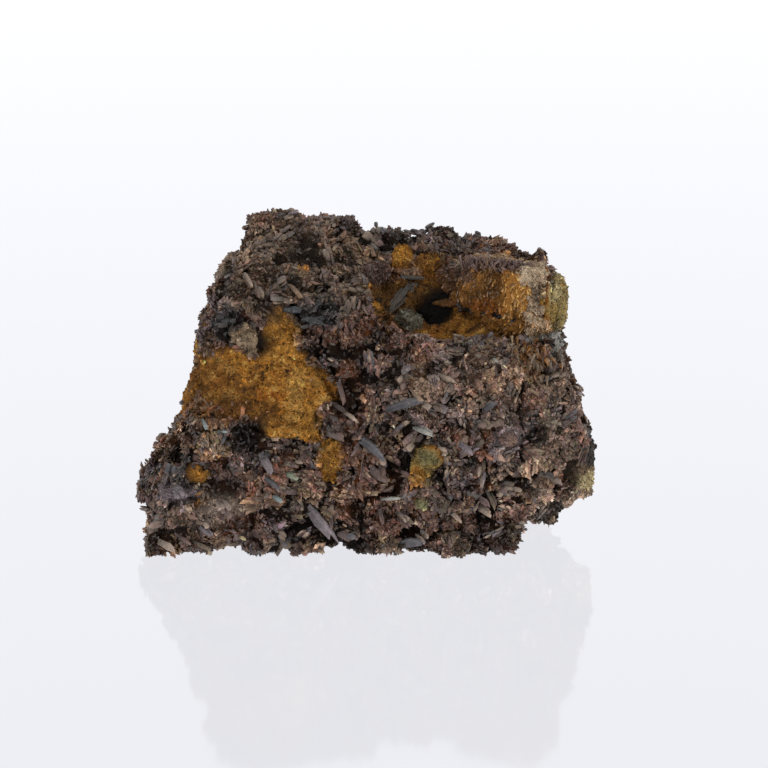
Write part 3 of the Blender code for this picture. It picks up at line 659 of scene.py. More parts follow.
def waves(points, sizes, seed):
    """The sum of lattice noises, from pairs of size and height."""
    total = np.zeros(len(points))
    for number, (size, height) in enumerate(sizes):
        total += height * lattice_noise(points, size, seed + number)
    return total


def smooth_least(first, second, blend):
    """The lesser of two distances, with the crease between them rounded over this blend."""
    near = np.maximum(blend - np.abs(first - second), 0.0) / blend
    return np.minimum(first, second) - near * near * blend / 4.0


def eased(value):
    """0 below 0, 1 above 1, and a smooth S between."""
    value = np.clip(value, 0.0, 1.0)
    return value * value * (3.0 - 2.0 * value)


def ramp(value, steepness, start):
    """0 to 1 as the value grows: eased, at this steepness and from this start."""
    return eased(steepness * value + start)


def unit(vectors):
    """Vectors brought to a length of 1."""
    return vectors / np.linalg.norm(vectors, axis=1)[:, None]


def away_from(points, centre, radii):
    """Distance from an ellipsoid's centre, as a share of its radii."""
    return np.linalg.norm((points - np.array(centre)) / np.array(radii), axis=1)


def block_reach(rays):
    """How far the rounded block reaches along each ray: a high power mean over its broken faces of the
    share of each face's distance that one unit of the ray covers."""
    closeness = np.zeros(len(rays))
    for way, distance in FACES.values():
        way = np.array(way) / np.linalg.norm(way)
        share = np.maximum(rays @ way, 0.0) / (distance - HEART @ way)
        closeness += share**EDGE_SHARPNESS
    return closeness ** (-1.0 / EDGE_SHARPNESS)


def swollen_by(reach, rays, centre, radii):
    """The reach of each ray where an ellipsoid is added to the block: the ray goes on to where it leaves
    the ellipsoid, if that is further, with the crease rounded over."""
    start = (HEART - np.array(centre)) / np.array(radii)
    step = rays / np.array(radii)
    a = np.sum(step * step, axis=1)
    b = step @ start
    inside = b * b - a * (start @ start - 1.0)
    leaves = (np.sqrt(np.maximum(inside, 0.0)) - b) / a
    return np.where((inside > 0.0) & (leaves > 0.0), -smooth_least(-reach, -leaves, LUMP_BLEND), reach)


def recess_entry(rays):
    """Where each ray enters the hollow in the top: at the last of its walls that the ray passes, with the
    corners between walls rounded by a high power mean. A ray that leaves first, or never enters, gets
    infinity."""
    farness = np.zeros(len(rays))
    enters = np.ones(len(rays), bool)
    leaves = np.full(len(rays), np.inf)
    for way, distance in RECESS_WALLS.values():
        way = np.array(way) / np.linalg.norm(way)
        ahead = rays @ way
        gap = distance - HEART @ way
        if gap > 0.0:
            enters &= ahead > LEAST_AHEAD
            farness += (gap / np.maximum(ahead, LEAST_AHEAD)) ** RECESS_SHARPNESS
        else:
            passes = gap / np.minimum(ahead, -LEAST_AHEAD)
            leaves = np.where(ahead < 0.0, np.minimum(leaves, passes), leaves)
    entry = farness ** (1.0 / RECESS_SHARPNESS)
    return np.where(enters & (entry < leaves), entry, np.inf)


def shifted(points, shifts):
    """The points after each named shift: a space eases its points along by its move, fading at its edge."""
    for centre, radii, move, fade in shifts.values():
        points = points + eased((1.0 - away_from(points, centre, radii)) / fade)[:, None] * np.array(move)
    return points


def bareness(points, patches):
    """1 on the bare patches and 0 on the crust, with a ragged edge between."""
    ragged = waves(points, BORDER_WAVES, BORDER_SEED)
    bare = np.zeros(len(points))
    for centre, radii in patches.values():
        bare = np.maximum(bare, eased((1.0 - away_from(points, centre, radii) + ragged) / BARE_EDGE))
    return bare


def skin(rays):
    """The stone's skin: one point for each unit ray out of its heart, and how bare of crust it is there."""
    reach = block_reach(rays)
    for centre, radii in LUMPS.values():
        reach = swollen_by(reach, rays, centre, radii)
    reach = smooth_least(reach, np.minimum(recess_entry(rays), FAR_OUT), HOLLOW_BLEND)
    for centre, radii in KNOBS.values():
        reach = swollen_by(reach, rays, centre, radii)
    points = shifted(HEART + rays * reach[:, None], SHIFTS)
    bare = bareness(points, BARE_PATCHES)
    lift = CRUST_DEPTH * (1.0 - bare)
    for number, (size, height) in enumerate(CRUST_SWELLS):
        lift += height * (1.0 - (1.0 - BARE_RELIEF) * bare) * lattice_noise(points, size, number)
    size, height = BACK_SWELL
    towards_back = eased((points[:, 1] - BACK_FROM) / BACK_OVER)
    lift += height * towards_back * (lattice_noise(points, size, BACK_SEED) - BACK_SINK)
    for mouth, radius, depth in PITS.values():
        away = np.linalg.norm(points - np.array(mouth), axis=1) / radius
        lift -= depth * eased(PIT_STEEPNESS * (1.0 - away))
    return points + rays * lift[:, None], bare


def skin_frames(rays):
    """Skin points with the way out at each, from two neighbouring points on the skin, and bareness."""
    points, bare = skin(rays)
    side = unit(np.cross(rays, FEELER_SIDE))
    edges = [skin(unit(rays + FEELER * way))[0] - points for way in (side, np.cross(rays, side))]
    outward = unit(np.cross(*edges))
    outward *= np.sign(np.sum(outward * rays, axis=1))[:, None]
    return points, outward, bare


def spread_rays(count):
    """Unit rays spread evenly over all directions, along a golden-angle spiral from pole to pole."""
    number = np.arange(count) + 0.5
    height = 1.0 - 2.0 * number / count
    turn = number * math.pi * (3.0 - math.sqrt(5.0))
    width = np.sqrt(1.0 - height * height)
    return np.stack((width * np.cos(turn), width * np.sin(turn), height), axis=1)


def between(dice, limits, count):
    """A column of random numbers between two limits."""
    return dice.uniform(limits[0], limits[1], (count, 1))


def placed(points):
    """Points of the working frame, brought to metres with the middle of the base at the origin."""
    return (points - np.array((*MIDDLE, 0.0))) * MM


def gap_depths(points):
    """How deep in a gap or crevice each point is, in mm."""
    depths = np.zeros(len(points))
    for number, (size, start, over, depth) in enumerate(GAPS):
        depths += depth * eased((lattice_noise(points, size, GAP_SEED + number) - start) / over)
    for number, (size, half_width, depth) in enumerate(CREVICES):
        across = np.abs(lattice_noise(points, size, CREVICE_SEED + number)) / half_width
        depths += depth * eased(CREVICE_STEEPNESS * (1.0 - across))
    return depths


def from_line(points, line):
    """Distance of each point from a line through several points."""
    nearest = np.full(len(points), np.inf)
    for start, end in zip(line[:-1], line[1:]):
        start = np.array(start)
        way = np.array(end) - start
        share = np.clip((points - start) @ way / (way @ way), 0.0, 1.0)
        nearest = np.minimum(nearest, np.linalg.norm(points - start - share[:, None] * way, axis=1))
    return nearest


def relief(points, bare):
    """How far the fine skin stands out of the solid's skin, in mm: it is sunk under the crust and deeper in
    the gaps, grainy on ochre, and raised or cut along the lines."""
    lift = (1.0 - bare) * (waves(points, CRUST_GRAIN, GRAIN_SEED) - SKIN_SUNK)
    lift += bare * waves(points, OCHRE_GRAIN, GRAIN_SEED)
    lift -= (1.0 - bare) * gap_depths(points)
    for line, half_width, tone, strength, stands in LINES.values():
        lift += stands * eased(LINE_STEEPNESS * (1.0 - from_line(points, line) / half_width))
    return lift


def fine_skin(rays):
    """Points of the fine skin, with the way out, bareness, depth of the gap and painted shade of the hole
    at each. A noise that is strongest halfway from crust to ochre frays the border between them."""
    points, outward, bare = skin_frames(rays)
    bare = np.maximum(bare, bareness(points, SMOOTH_PATCHES))
    bare *= 1.0 - bareness(points, COVERED_PATCHES)
    bare = np.clip(bare + 4.0 * bare * (1.0 - bare) * waves(points, FRAYS, FRAY_SEED), 0.0, 1.0)
    gaps = gap_depths(points) * (1.0 - bare)
    dark = painted_hole_shade(points)
    points = shifted(points, FINE_SHIFTS) + outward * relief(points, bare)[:, None]
    return points, outward, bare, gaps, dark


def painted_hole_shade(points):
    """Painted shade in the named pits, from 0 to 1, by distance from the line from mouth to heart."""
    dark = np.zeros(len(points))
    for name, (reach, strength) in HOLE_PAINTED_SHADE.items():
        mouth, radius, depth = PITS[name]
        way = np.array(mouth) - HEART
        way /= np.linalg.norm(way)
        away = np.linalg.norm(np.cross(points - HEART, way), axis=1) / (reach * radius)
        ahead = (points - HEART) @ way > 0.0
        dark = np.maximum(dark, strength * ahead * eased(HOLE_STEEPNESS * (1.0 - away)))
    return dark


def linear(tone):
    """A named sRGB tone as linear light from 0 to 1."""
    share = np.array(TONES[tone]) / 255.0
    return np.where(share <= 0.04045, share / 12.92, ((share + 0.055) / 1.055) ** 2.4)


def mixed(first, second, share):
    """Tints between two, by a share for each point."""
    return first + (second - first) * np.asarray(share)[:, None]


def ochre_tints(points):
    """Limonite: tones laid over its brown by their own noises, with slanting streaks in the broad one."""
    size, height, seed = STREAKS
    noise = {name: waves(points, *shape) for name, shape in OCHRE_NOISES.items()}
    noise["broad"] += height * lattice_noise(points @ np.array(STREAK_FRAME), size, seed)
    tints = linear("ochre_brown")
    for tone, strength, name, steepness, start in OCHRE_TONES:
        tints = mixed(tints, linear(tone), strength * ramp(noise[name], steepness, start))
    return tints


def rustiness(points):
    """How rusty the crust is, in patches of two sizes."""
    return ramp(waves(points, RUST_WAVES, RUST_SEED), *RUST_FROM)


def with_stains_and_painted_light(tints, points):
    """The tints under each named stain, patch of painted light or shade, and line, with ragged edges."""
    ragged = waves(points, TINT_PATCH_WAVES, TINT_PATCH_SEED)
    for middle, radii, tone, strength in STAINS_AND_PAINTED_LIGHT.values():
        share = strength * eased((1.0 - away_from(points, middle, radii) + ragged) / TINT_PATCH_EDGE)
        tints = mixed(tints, linear(tone), share)
    for line, half_width, tone, strength, stands in LINES.values():
        share = strength * eased(LINE_TONE_STEEPNESS * (1.0 - from_line(points, line) / half_width))
        tints = mixed(tints, linear(tone), share)
    return tints


def put(name, data):
    """An object with this data, in the scene."""
    made = bpy.data.objects.new(name, data)
    bpy.context.scene.collection.objects.link(made)
    return made


def mesh_piece(name, points, faces, tints, bare, layout, material, smooth=False):
    """A piece from its points in mm, arrays of its faces, a tint and a bareness for each point and the
    place of each face corner on the sheet that its colours can be drawn on. It rides on the stone."""
    mesh = bpy.data.meshes.new(name)
    mesh.from_pydata(placed(points), [], [face for made in faces for face in made.tolist()])
    rgba = np.ones((len(points), 4), np.float32)
    rgba[:, :3] = np.clip(tints, 0.0, 1.0)
    mesh.attributes.new("tint", "FLOAT_COLOR", "POINT").data.foreach_set("color", rgba.ravel())
    mesh.attributes.new("bare", "FLOAT", "POINT").data.foreach_set("value", np.asarray(bare, np.float32))
    sheet = mesh.uv_layers.new(name="OFBake")
    sheet.uv.foreach_set("vector", np.asarray(layout, np.float32).ravel())
    mesh.polygons.foreach_set("use_smooth", np.full(len(mesh.polygons), smooth))
    mesh.materials.append(material)
    mesh.update()
    piece = put(name, mesh)
    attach(piece, "root")
    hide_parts("axinite_specimen")


def cube_sphere(cuts):
    """Unit rays, the quads between them and the corners' places on a sheet: each side of a cube is a grid
    with equal angles between its lines, and the sides' shared edges are welded. The sheet has two rows of
    three."""
    steps = np.tan(np.linspace(-math.pi / 4.0, math.pi / 4.0, cuts + 1))
    across, up = (grid.ravel() for grid in np.meshgrid(steps, steps, indexing="ij"))
    line = np.arange(cuts)
    corner = (line[:, None] * (cuts + 1) + line[None, :]).ravel()
    quads = np.stack((corner, corner + cuts + 1, corner + cuts + 2, corner + 1), axis=1)
    places = np.stack(np.divmod(np.arange((cuts + 1) ** 2), cuts + 1), axis=1) / cuts
    rays, faces, sheet = [], [], []
    for side in range(6):
        axis, sign = side % 3, 1.0 - 2.0 * (side // 3)
        ray = np.empty((len(across), 3))
        ray[:, axis] = sign
        ray[:, (axis + 1) % 3] = sign * across
        ray[:, (axis + 2) % 3] = up
        faces.append(quads + side * len(ray))
        rays.append(unit(ray))
        inset = places * (1.0 - 2.0 * SIDE_MARGIN) + SIDE_MARGIN
        sheet.append((inset + (side % 3, side // 3)) / (3.0, 2.0))
    rays, faces, sheet = (np.concatenate(parts) for parts in (rays, faces, sheet))
    layout = sheet[faces]
    rounded = np.round(rays, WELD_DECIMALS)
    first, welded = np.unique(rounded, axis=0, return_index=True, return_inverse=True)[1:]
    return rays[first], welded.ravel()[faces], layout


def stone_skin(material):
    """The stone under its crust: a cube's grid blown out to the skin, with the fine relief, cut flat where
    it stands."""
    rays, quads, layout = cube_sphere(SKIN_CUTS)
    points, outward, bare, gaps, dark = fine_skin(rays)
    tints = mixed(linear("matrix"), linear("rust"), MATRIX_RUST * rustiness(points))
    tints = with_stains_and_painted_light(mixed(tints, ochre_tints(points), bare), points)
    # painted shade where the noises of the ochre's fine relief dip
    hollows = bare * eased(-HOLLOW_STEEPNESS * waves(points, OCHRE_GRAIN[1:], GRAIN_SEED + 1))
    tints = tints * (1.0 - HOLLOW_SHADE * hollows)[:, None]
    # painted shade: the crevice tone deep in the gaps and in the holes
    tints = mixed(tints, linear("crevice"), np.maximum(GAP_SHADE * eased(gaps), dark))
    points[:, 2] = np.maximum(points[:, 2], 0.0)
    mesh_piece("stone_skin", points, [quads], tints, bare, layout, material, smooth=True)


def sheet_cells(faces):
    """Places on a sheet for the corners of arrays of faces: a square cell to each face, with a margin.
    Triangles leave a corner of theirs free."""
    total = sum(len(made) for made in faces)
    row = math.ceil(math.sqrt(total))
    cell = np.stack(np.divmod(np.arange(total), row), axis=1)
    near, far = CELL_MARGIN, 1.0 - CELL_MARGIN
    corner = np.array(((near, near), (far, near), (far, far), (near, far)))
    places = (cell[:, None, :] + corner) / row
    parts = np.split(places, np.cumsum([len(made) for made in faces])[:-1])
    return np.concatenate([part[:, : made.shape[1]].reshape(-1, 2) for part, made in zip(parts, faces)])


def repeated(faces, count, corners):
    """One crystal's faces, for a number of crystals with so many corners each."""
    faces = np.array(faces)
    return (faces[None] + corners * np.arange(count)[:, None, None]).reshape(-1, faces.shape[1])


def wedges(middles, axes, tip_breadth):
    """Points and faces of axe-shaped crystals, whose sharp tip has a share of the root's breadth, and how
    far each point is from root to tip."""
    corners = np.tile(np.array(WEDGE), (len(middles), 1, 1))
    corners[:, 4:, 1] *= tip_breadth
    points = middles[:, None, :] + sum(corners[:, :, k, None] * axes[k][:, None, :] for k in range(3))
    faces = [repeated(made, len(middles), len(WEDGE)) for made in (WEDGE_QUADS, WEDGE_ENDS)]
    return points.reshape(-1, 3), faces, (corners[:, :, 0].ravel() + 1.0) / 2.0


def plates(middles, axes, outline, dice):
    """Points and faces of flat crystals with bevelled rims, and how far each point is from root to tip:
    three rings of one outline, the outer two drawn in and set apart by the thickness. The outline is a
    little different on each crystal."""
    outline = np.array(outline)
    count = len(outline)
    shapes = outline * dice.uniform(*OUTLINE_SHARES, (len(middles), count, 2))
    rings = np.concatenate((shapes * BEVEL, shapes, shapes * BEVEL), axis=1)
    through = np.repeat((-1.0, 0.0, 1.0), count)
    points = middles[:, None, :] + rings[:, :, :1] * axes[0][:, None] + rings[:, :, 1:] * axes[1][:, None]
    points = points + through[None, :, None] * axes[2][:, None]
    here = np.arange(count)
    after = (here + 1) % count
    rim = np.stack((here, after, after + count, here + count), axis=1)
    cap = np.array([(n, n + 1, count - 2 - n, count - 1 - n) for n in range(count // 2 - 1)])
    quads = np.concatenate((rim, rim + count, cap[:, ::-1], cap + 2 * count))
    faces = [repeated(quads, len(middles), 3 * count)]
    return points.reshape(-1, 3), faces, (rings[:, :, 0].ravel() + 1.0) / 2.0


def right_handed(axes):
    """Each crystal's half-edges, with the third turned round where they would make it inside out."""
    turned = np.sign(np.sum(np.cross(axes[0], axes[1]) * axes[2], axis=1))
    return axes[0], axes[1], axes[2] * turned[:, None]


def leaning_axes(outward, flat, lean, roll, skew, length, breadth, thickness):
    """Half-edges of crystals that lean out of the skin by an angle, towards a side along it."""
    along = outward * np.sin(lean) + flat * np.cos(lean)
    broad = np.cross(outward, flat)
    thick = np.cross(along, broad) * np.cos(roll) + broad * np.sin(roll)
    broad = np.cross(thick, along) + skew * along
    return right_handed((0.5 * length * along, 0.5 * breadth * broad, 0.5 * thickness * thick))


def turned_flat(outward, turn):
    """A side along the skin, turned round the way out of it by an angle."""
    flat = unit(np.cross(outward, NEARLY_UP))
    return flat * np.cos(turn) + np.cross(outward, flat) * np.sin(turn)


def crossed_by(rays, points, outward):
    """How much of the skin one ray stands for, as a share of the most: more where neighbouring rays lie
    further apart or cross it at a slant."""
    reach = np.linalg.norm(points - HEART, axis=1)
    return (reach / BLADE_FURTHEST) ** 2 / np.maximum(np.sum(outward * rays, axis=1), LEAST_FACING)


def strewn_rays(dice, count, stray):
    """Unit rays in all directions, each straying a little from an even spread."""
    return unit(spread_rays(count) + dice.normal(0.0, stray, (count, 3)))


def evenly_kept(dice, rays, points, outward):
    """Chooses places so that they are as dense near the heart as far from it."""
    return dice.uniform(0.0, SPARE_PLACES, len(rays)) < crossed_by(rays, points, outward)


def nearest_of(points, middles):
    """The number of the middle nearest to each point, worked out some thousands at a time."""
    found = []
    for part in np.array_split(points, max(1, len(points) // POINTS_AT_A_TIME)):
        found.append(np.argmin(np.sum((part[:, None, :] - middles[None]) ** 2, axis=2), axis=1))
    return np.concatenate(found)


def crust_clusters():
    """Clusters of crystals: the middle of each, the side that its crystals lean to and by how much, how
    disordered they are, whether they spread from its middle, and its kind and brightness."""
    dice = np.random.default_rng(CLUSTER_SEED)
    rays = strewn_rays(dice, CLUSTERS, CLUSTER_STRAY)
    return {
        "middle": skin(rays)[0].astype(np.float32),
        "turn": dice.uniform(-math.pi, math.pi, CLUSTERS),
        "lean": dice.uniform(0.0, 1.0, CLUSTERS),
        "disorder": dice.uniform(*CLUSTER_DISORDER, CLUSTERS),
        "spreads": dice.uniform(0.0, 1.0, CLUSTERS) < SPREADING,
        "kind": dice.choice(len(CRYSTAL_KINDS), CLUSTERS, p=list(CRYSTAL_KINDS.values())),
        "brightness": dice.normal(0.0, CLUSTER_VARIETY, CLUSTERS),
    }


def crystal_tints(dice, roots, cluster, kinds, brightness):
    """One tint for each crystal: its cluster's kind or one of its own, brighter or darker, with painted
    glints on a few, rusty in patches, and with the skin's stains and painted light and shade there."""
    count = len(roots)
    palette = np.array([linear(tone) for tone in CRYSTAL_KINDS])
    own = dice.choice(len(CRYSTAL_KINDS), count, p=list(CRYSTAL_KINDS.values()))
    kind = np.where(dice.uniform(0.0, 1.0, count) < OF_ONE_KIND, kinds[cluster], own)
    rust = CRYSTAL_RUST * rustiness(roots) * dice.uniform(*RUST_SHARES, count)
    tints = with_stains_and_painted_light(mixed(palette[kind], linear("rust"), rust), roots)
    glints = GLINT_BRIGHTNESS * (dice.uniform(0.0, 1.0, count) < GLINTS)
    light = brightness[cluster] + dice.normal(0.0, CRYSTAL_VARIETY, count) + glints
    return tints * np.exp(light)[:, None] * CRUST_TINGE * np.exp(dice.normal(0.0, HUE_VARIETY, (count, 3)))


def crust_crystals(name, clusters):
    """One set of the crust's crystals: their middles, half-edges and tints, and the dice that were thrown
    for them. Each turns, leans and rolls as its cluster does, and strays from that with the cluster's
    disorder."""
    places, length, breadth, thickness, leans, sunk = CRYSTAL_SETS[name]
    dice = np.random.default_rng(CRYSTAL_SEEDS[name])
    rays = strewn_rays(dice, places, PLACE_STRAY / math.sqrt(places))
    points, outward, bare, gaps, dark = fine_skin(rays)
    gaps = np.maximum(np.minimum(gaps, 1.0), dark)
    keep = evenly_kept(dice, rays, points, outward)
    keep &= (bare < dice.uniform(*THINNED_WHERE_BARE, places)) & (points[:, 2] > LOWEST_CRYSTAL)
    keep &= dice.uniform(0.0, 1.0, places) > (1.0 - KEPT_IN_GAPS) * gaps
    points, outward, gaps, dark = points[keep], outward[keep], gaps[keep], dark[keep]
    count = len(points)
    cluster = nearest_of(points.astype(np.float32), clusters["middle"])
    loose = clusters["disorder"][cluster]
    turn = clusters["turn"][cluster] + loose * dice.normal(0.0, TURN_STRAY, count)
    flat = turned_flat(outward, turn[:, None])
    spread = points - clusters["middle"][cluster] + dice.normal(0.0, SPREAD_STRAY, (count, 3))
    spread -= outward * np.sum(spread * outward, axis=1)[:, None]
    flat = np.where(clusters["spreads"][cluster][:, None], unit(spread), flat)
    lean = clusters["lean"][cluster] * (1.0 - loose) + dice.uniform(0.0, 1.0, count) * loose
    lean = np.radians(leans[0] + (leans[1] - leans[0]) * lean)[:, None]
    roll = dice.normal(0.0, ROLL_STRAY[0] + ROLL_STRAY[1] * loose, count)[:, None]
    size = between(dice, SIZE_SHARES, count) * np.where(gaps > DEEP_GAP, SIZE_IN_GAPS, 1.0)[:, None]
    longest = size * (length[0] + (length[1] - length[0]) * dice.uniform(0.0, 1.0, (count, 1)) ** 2)
    axes = leaning_axes(
        outward, flat, lean, roll, between(dice, (-MOST_SKEW, MOST_SKEW), count),
        longest, between(dice, breadth, count), between(dice, thickness, count),
    )
    middles = points + axes[0] * (1.0 - 2.0 * sunk)
    tints = crystal_tints(dice, points, cluster, clusters["kind"], clusters["brightness"])
    # painted shade on crystals deep in a gap or in a hole
    shade = np.maximum(CRYSTAL_GAP_SHADE * gaps, CRYSTAL_HOLE_SHADE * dark)
    return middles, axes, mixed(tints, linear("crevice"), shade), dice


def shaded_to_root(tints, share, each):
    """Tints of crystals' points, darker towards the root: partly dirt, partly painted shade where they sink
    into the crust.
    """
    return np.repeat(tints, each, axis=0) * (ROOT_SHADE + (1.0 - ROOT_SHADE) * eased(share))[:, None]


def crystal_piece(name, points, faces, tints, material, bare=0.0):
    """A piece of many crystals, cut flat where the stone stands."""
    points[:, 2] = np.maximum(points[:, 2], 0.0)
    mesh_piece(name, points, faces, tints, np.full(len(points), bare), sheet_cells(faces), material)


def wedge_piece(name, middles, axes, tip_breadth, tints, material, plain=False, bare=0.0):
    """A piece of axe-shaped crystals, darker towards their roots, partly with painted shade, unless they
    are plain.
    """
    points, faces, share = wedges(middles, axes, tip_breadth)
    each = len(WEDGE)
    colours = np.repeat(tints, each, axis=0) if plain else shaded_to_root(tints, share, each)
    crystal_piece(name, points, faces, colours, material, bare)


def medium_crystals(clusters, material):
    """Flat crystals of a few millimetres, in clusters."""
    middles, axes, tints, dice = crust_crystals("crystals_medium", clusters)
    points, faces, share = plates(middles, axes, RHOMB_OUTLINE, dice)
    tints = shaded_to_root(tints, share, len(points) // len(middles))
    crystal_piece("crystals_medium", points, faces, tints, material)


def fine_crystals(clusters, material):
    """The mass of small crystals, shared between several pieces by height."""
    middles, axes, tints, dice = crust_crystals("crystals_fine", clusters)
    tip_breadth = between(dice, FINE_TIP, len(middles))
    for number, part in enumerate(np.array_split(np.argsort(middles[:, 2]), FINE_PIECES)):
        name, halves = f"crystals_fine_{number + 1}", [half[part] for half in axes]
        wedge_piece(name, middles[part], halves, tip_breadth[part], tints[part], material)


def solid_blades():
    """The solid's own blades again: their middles and half-edges, as its part makes them."""
    dice = np.random.default_rng(BLADE_SEED)
    rays = strewn_rays(dice, BLADE_PLACES, BLADE_UNEVENNESS)
    points, outward, bare = skin_frames(rays)
    turn, roll, chance = dice.uniform(-1.0, 1.0, (3, BLADE_PLACES, 1))
    lean = np.radians(between(dice, BLADE_LEAN, BLADE_PLACES))
    length, breadth, thickness = (
        between(dice, limits, BLADE_PLACES) for limits in (BLADE_LENGTH, BLADE_BREADTH, BLADE_THICKNESS)
    )
    flat = turned_flat(outward, math.pi * turn)
    axes = leaning_axes(outward, flat, lean, BLADE_ROLL * roll, BLADE_SKEW, length, breadth, thickness)
    keep = (bare < BLADE_MOST_BARE) & (points[:, 2] > BLADE_LOWEST) & (outward[:, 2] > BLADE_MOST_DOWN)
    keep &= 0.5 + 0.5 * chance[:, 0] < crossed_by(rays, points, outward)
    middles = points + axes[0] * (1.0 - 2.0 * BLADE_SUNK)
    return middles[keep], [half[keep] for half in axes]


def bundled(middles, axes, laths, dice):
    """Each blade as a bundle of laths, which stray from its middle and are smaller than it."""
    count, strays, sizes = laths
    middles = np.repeat(middles, count, axis=0)
    axes = [np.repeat(half, count, axis=0) for half in axes]
    chances = dice.uniform(-1.0, 1.0, (3, len(middles), 1))
    middles = middles + sum(chance * share * half for chance, share, half in zip(chances, strays, axes))
    return middles, [half * between(dice, limits, len(middles)) for half, limits in zip(axes, sizes)]


def onto_skin(targets):
    """The skin's points and ways out at these places, found by aiming again by what each aim missed by."""
    aims = targets.copy()
    for attempt in range(AIMS):
        points, outward, bare = skin_frames(unit(aims - HEART))
        aims += targets - points
    return points, outward


def laid_blades():
    """The blades laid one by one: their middles, half-edges and tints."""
    starts, ends, breadths, tones, lifts = zip(*LAID_BLADES.values())
    starts, ends = np.array(starts), np.array(ends)
    middles, outward = onto_skin((starts + ends) / 2.0)
    along = ends - starts + outward * np.array(lifts)[:, None]
    broad = unit(np.cross(outward, along)) * np.array(breadths)[:, None]
    thick = unit(np.cross(along, broad)) * LAID_THICKNESS
    axes = right_handed((0.5 * along, 0.5 * broad, 0.5 * thick))
    return middles + LAID_OUT * outward, axes, np.array([linear(tone) for tone in tones])


def large_blades(material):
    """The large blades: the solid's own and those laid one by one."""
    dice = np.random.default_rng(BLADE_SEED)
    middles, axes = bundled(*solid_blades(), SOLID_LATHS, dice)
    palette = np.array([linear(tone) for tone in CRYSTAL_KINDS])
    kinds = dice.choice(len(palette), len(middles), p=list(CRYSTAL_KINDS.values()))
    tints = with_stains_and_painted_light(palette[kinds], middles)
    tints = tints * np.exp(dice.normal(0.0, SOLID_LATH_VARIETY, len(middles)))[:, None]
    more_middles, more_axes, more_tints = laid_blades()
    more_middles, more_axes = bundled(more_middles, more_axes, LAID_LATHS, dice)
    more_tints = np.repeat(more_tints, LAID_LATHS[0], axis=0)
    more_tints = more_tints * np.exp(dice.normal(0.0, LAID_LATH_VARIETY, (len(more_tints), 1)))
    middles = np.concatenate((middles, more_middles))
    axes = [np.concatenate(pair) for pair in zip(axes, more_axes)]
    points, faces, share = plates(middles, axes, BLADE_OUTLINE, dice)
    tints = shaded_to_root(np.concatenate((tints, more_tints)), share, len(points) // len(middles))
    crystal_piece("blades_large", points, faces, tints, material)


def turned(turn, lean):
    """The matrix that points are multiplied by from the right, to lean them back and then turn them about
    Z, by angles in degrees."""
    turn, lean = math.radians(turn), math.radians(lean)
    leaning = (1.0, 0.0, 0.0), (0.0, math.cos(lean), -math.sin(lean)), (0.0, math.sin(lean), math.cos(lean))
    turning = (math.cos(turn), math.sin(turn), 0.0), (-math.sin(turn), math.cos(turn), 0.0), (0.0, 0.0, 1.0)
    return np.array(leaning) @ np.array(turning)


def knob_shape(name, rays):
    """Points of a knob along rays from its middle, the way out and the height of the furrows at each: a
    rounded box, furrowed by noise that is stretched up and down."""
    middle, radii, turn, lean, stretch, height = KNOBS_LAID[name][:6]
    box = np.sum(np.abs(rays) ** KNOB_POWER, axis=1) ** (1.0 / KNOB_POWER)
    blown = rays / box[:, None] * np.array(radii)
    outward = unit(rays / np.array(radii))
    seed = KNOB_SEED + KNOB_SEED_STEP * list(KNOBS_LAID).index(name)
    furrows = waves(blown / (1.0, 1.0, stretch), KNOB_FURROWS, seed)
    placing = turned(turn, lean)
    points = np.array(middle) + (blown + outward * (height * furrows)[:, None]) @ placing
    return points, outward @ placing, furrows


def laid_knobs(material):
    """The knobs, mottled in their two tones, with painted shade in their furrows."""
    parts, faces, tints, layouts = [], [], [], []
    darkest, lighter = KNOB_LIGHT
    for number, (name, knob) in enumerate(KNOBS_LAID.items()):
        rays, quads, layout = cube_sphere(FINE_KNOBS.get(name, KNOB_CUTS))
        points, outward, furrows = knob_shape(name, rays)
        colours = with_stains_and_painted_light(mixed(linear(knob[-1]), linear(knob[-2]), ramp(furrows, *KNOB_MOTTLE)), points)
        faces.append(quads + sum(len(part) for part in parts))
        parts.append(points)
        # painted shade in the furrows
        tints.append(colours * (darkest + lighter * ramp(furrows, *KNOB_RIDGES))[:, None])
        layouts.append((layout + np.divmod(number, KNOB_SHEET)) / KNOB_SHEET)
    points, tints, layout = (np.concatenate(made) for made in (parts, tints, layouts))
    bare = np.full(len(points), KNOB_BARE)
    mesh_piece("knobs", points, faces, tints, bare, layout, material, smooth=True)


def knob_crystals(material):
    """Small crystals that grow on some of the knobs, upright along it or at random."""
    dice = np.random.default_rng(KNOB_SEED)
    middles, halves, tints = [], [], []
    darkest, lighter = KNOB_CRYSTAL_LIGHT
    for name, (count, *sizes, most_lean, stray, tone, other) in CRUSTED.items():
        rays = unit(dice.normal(0.0, 1.0, (count, 3)))
        points, outward, furrows = knob_shape(name, rays)
        flat = turned_flat(outward, math.pi / 2.0 + dice.normal(0.0, stray, (count, 1)))
        lean = np.radians(between(dice, (0.0, most_lean), count))
        roll = dice.normal(0.0, KNOB_CRYSTAL_ROLL, (count, 1))
        sizes = [between(dice, limits, count) for limits in sizes]
        skew = between(dice, (-MOST_SKEW, MOST_SKEW), count)
        axes = leaning_axes(outward, flat, lean, roll, skew, *sizes)
        middles.append(points + KNOB_CRYSTAL_OUT * axes[0])
        halves.append(np.stack(axes))
        chosen = with_stains_and_painted_light(mixed(linear(tone), linear(other), dice.uniform(0.0, 1.0, count)), points)
        # painted shade in the knob's furrows
        chosen = chosen * (darkest + lighter * ramp(furrows, *KNOB_CRYSTAL_RIDGES))[:, None]
        tints.append(chosen * np.exp(dice.normal(0.0, CRYSTAL_VARIETY, (count, 1))))
    middles, axes, tints = np.concatenate(middles), np.concatenate(halves, axis=1), np.concatenate(tints)
    wedge_piece("knob_crystals", middles, axes, OTHER_TIP, tints, material)


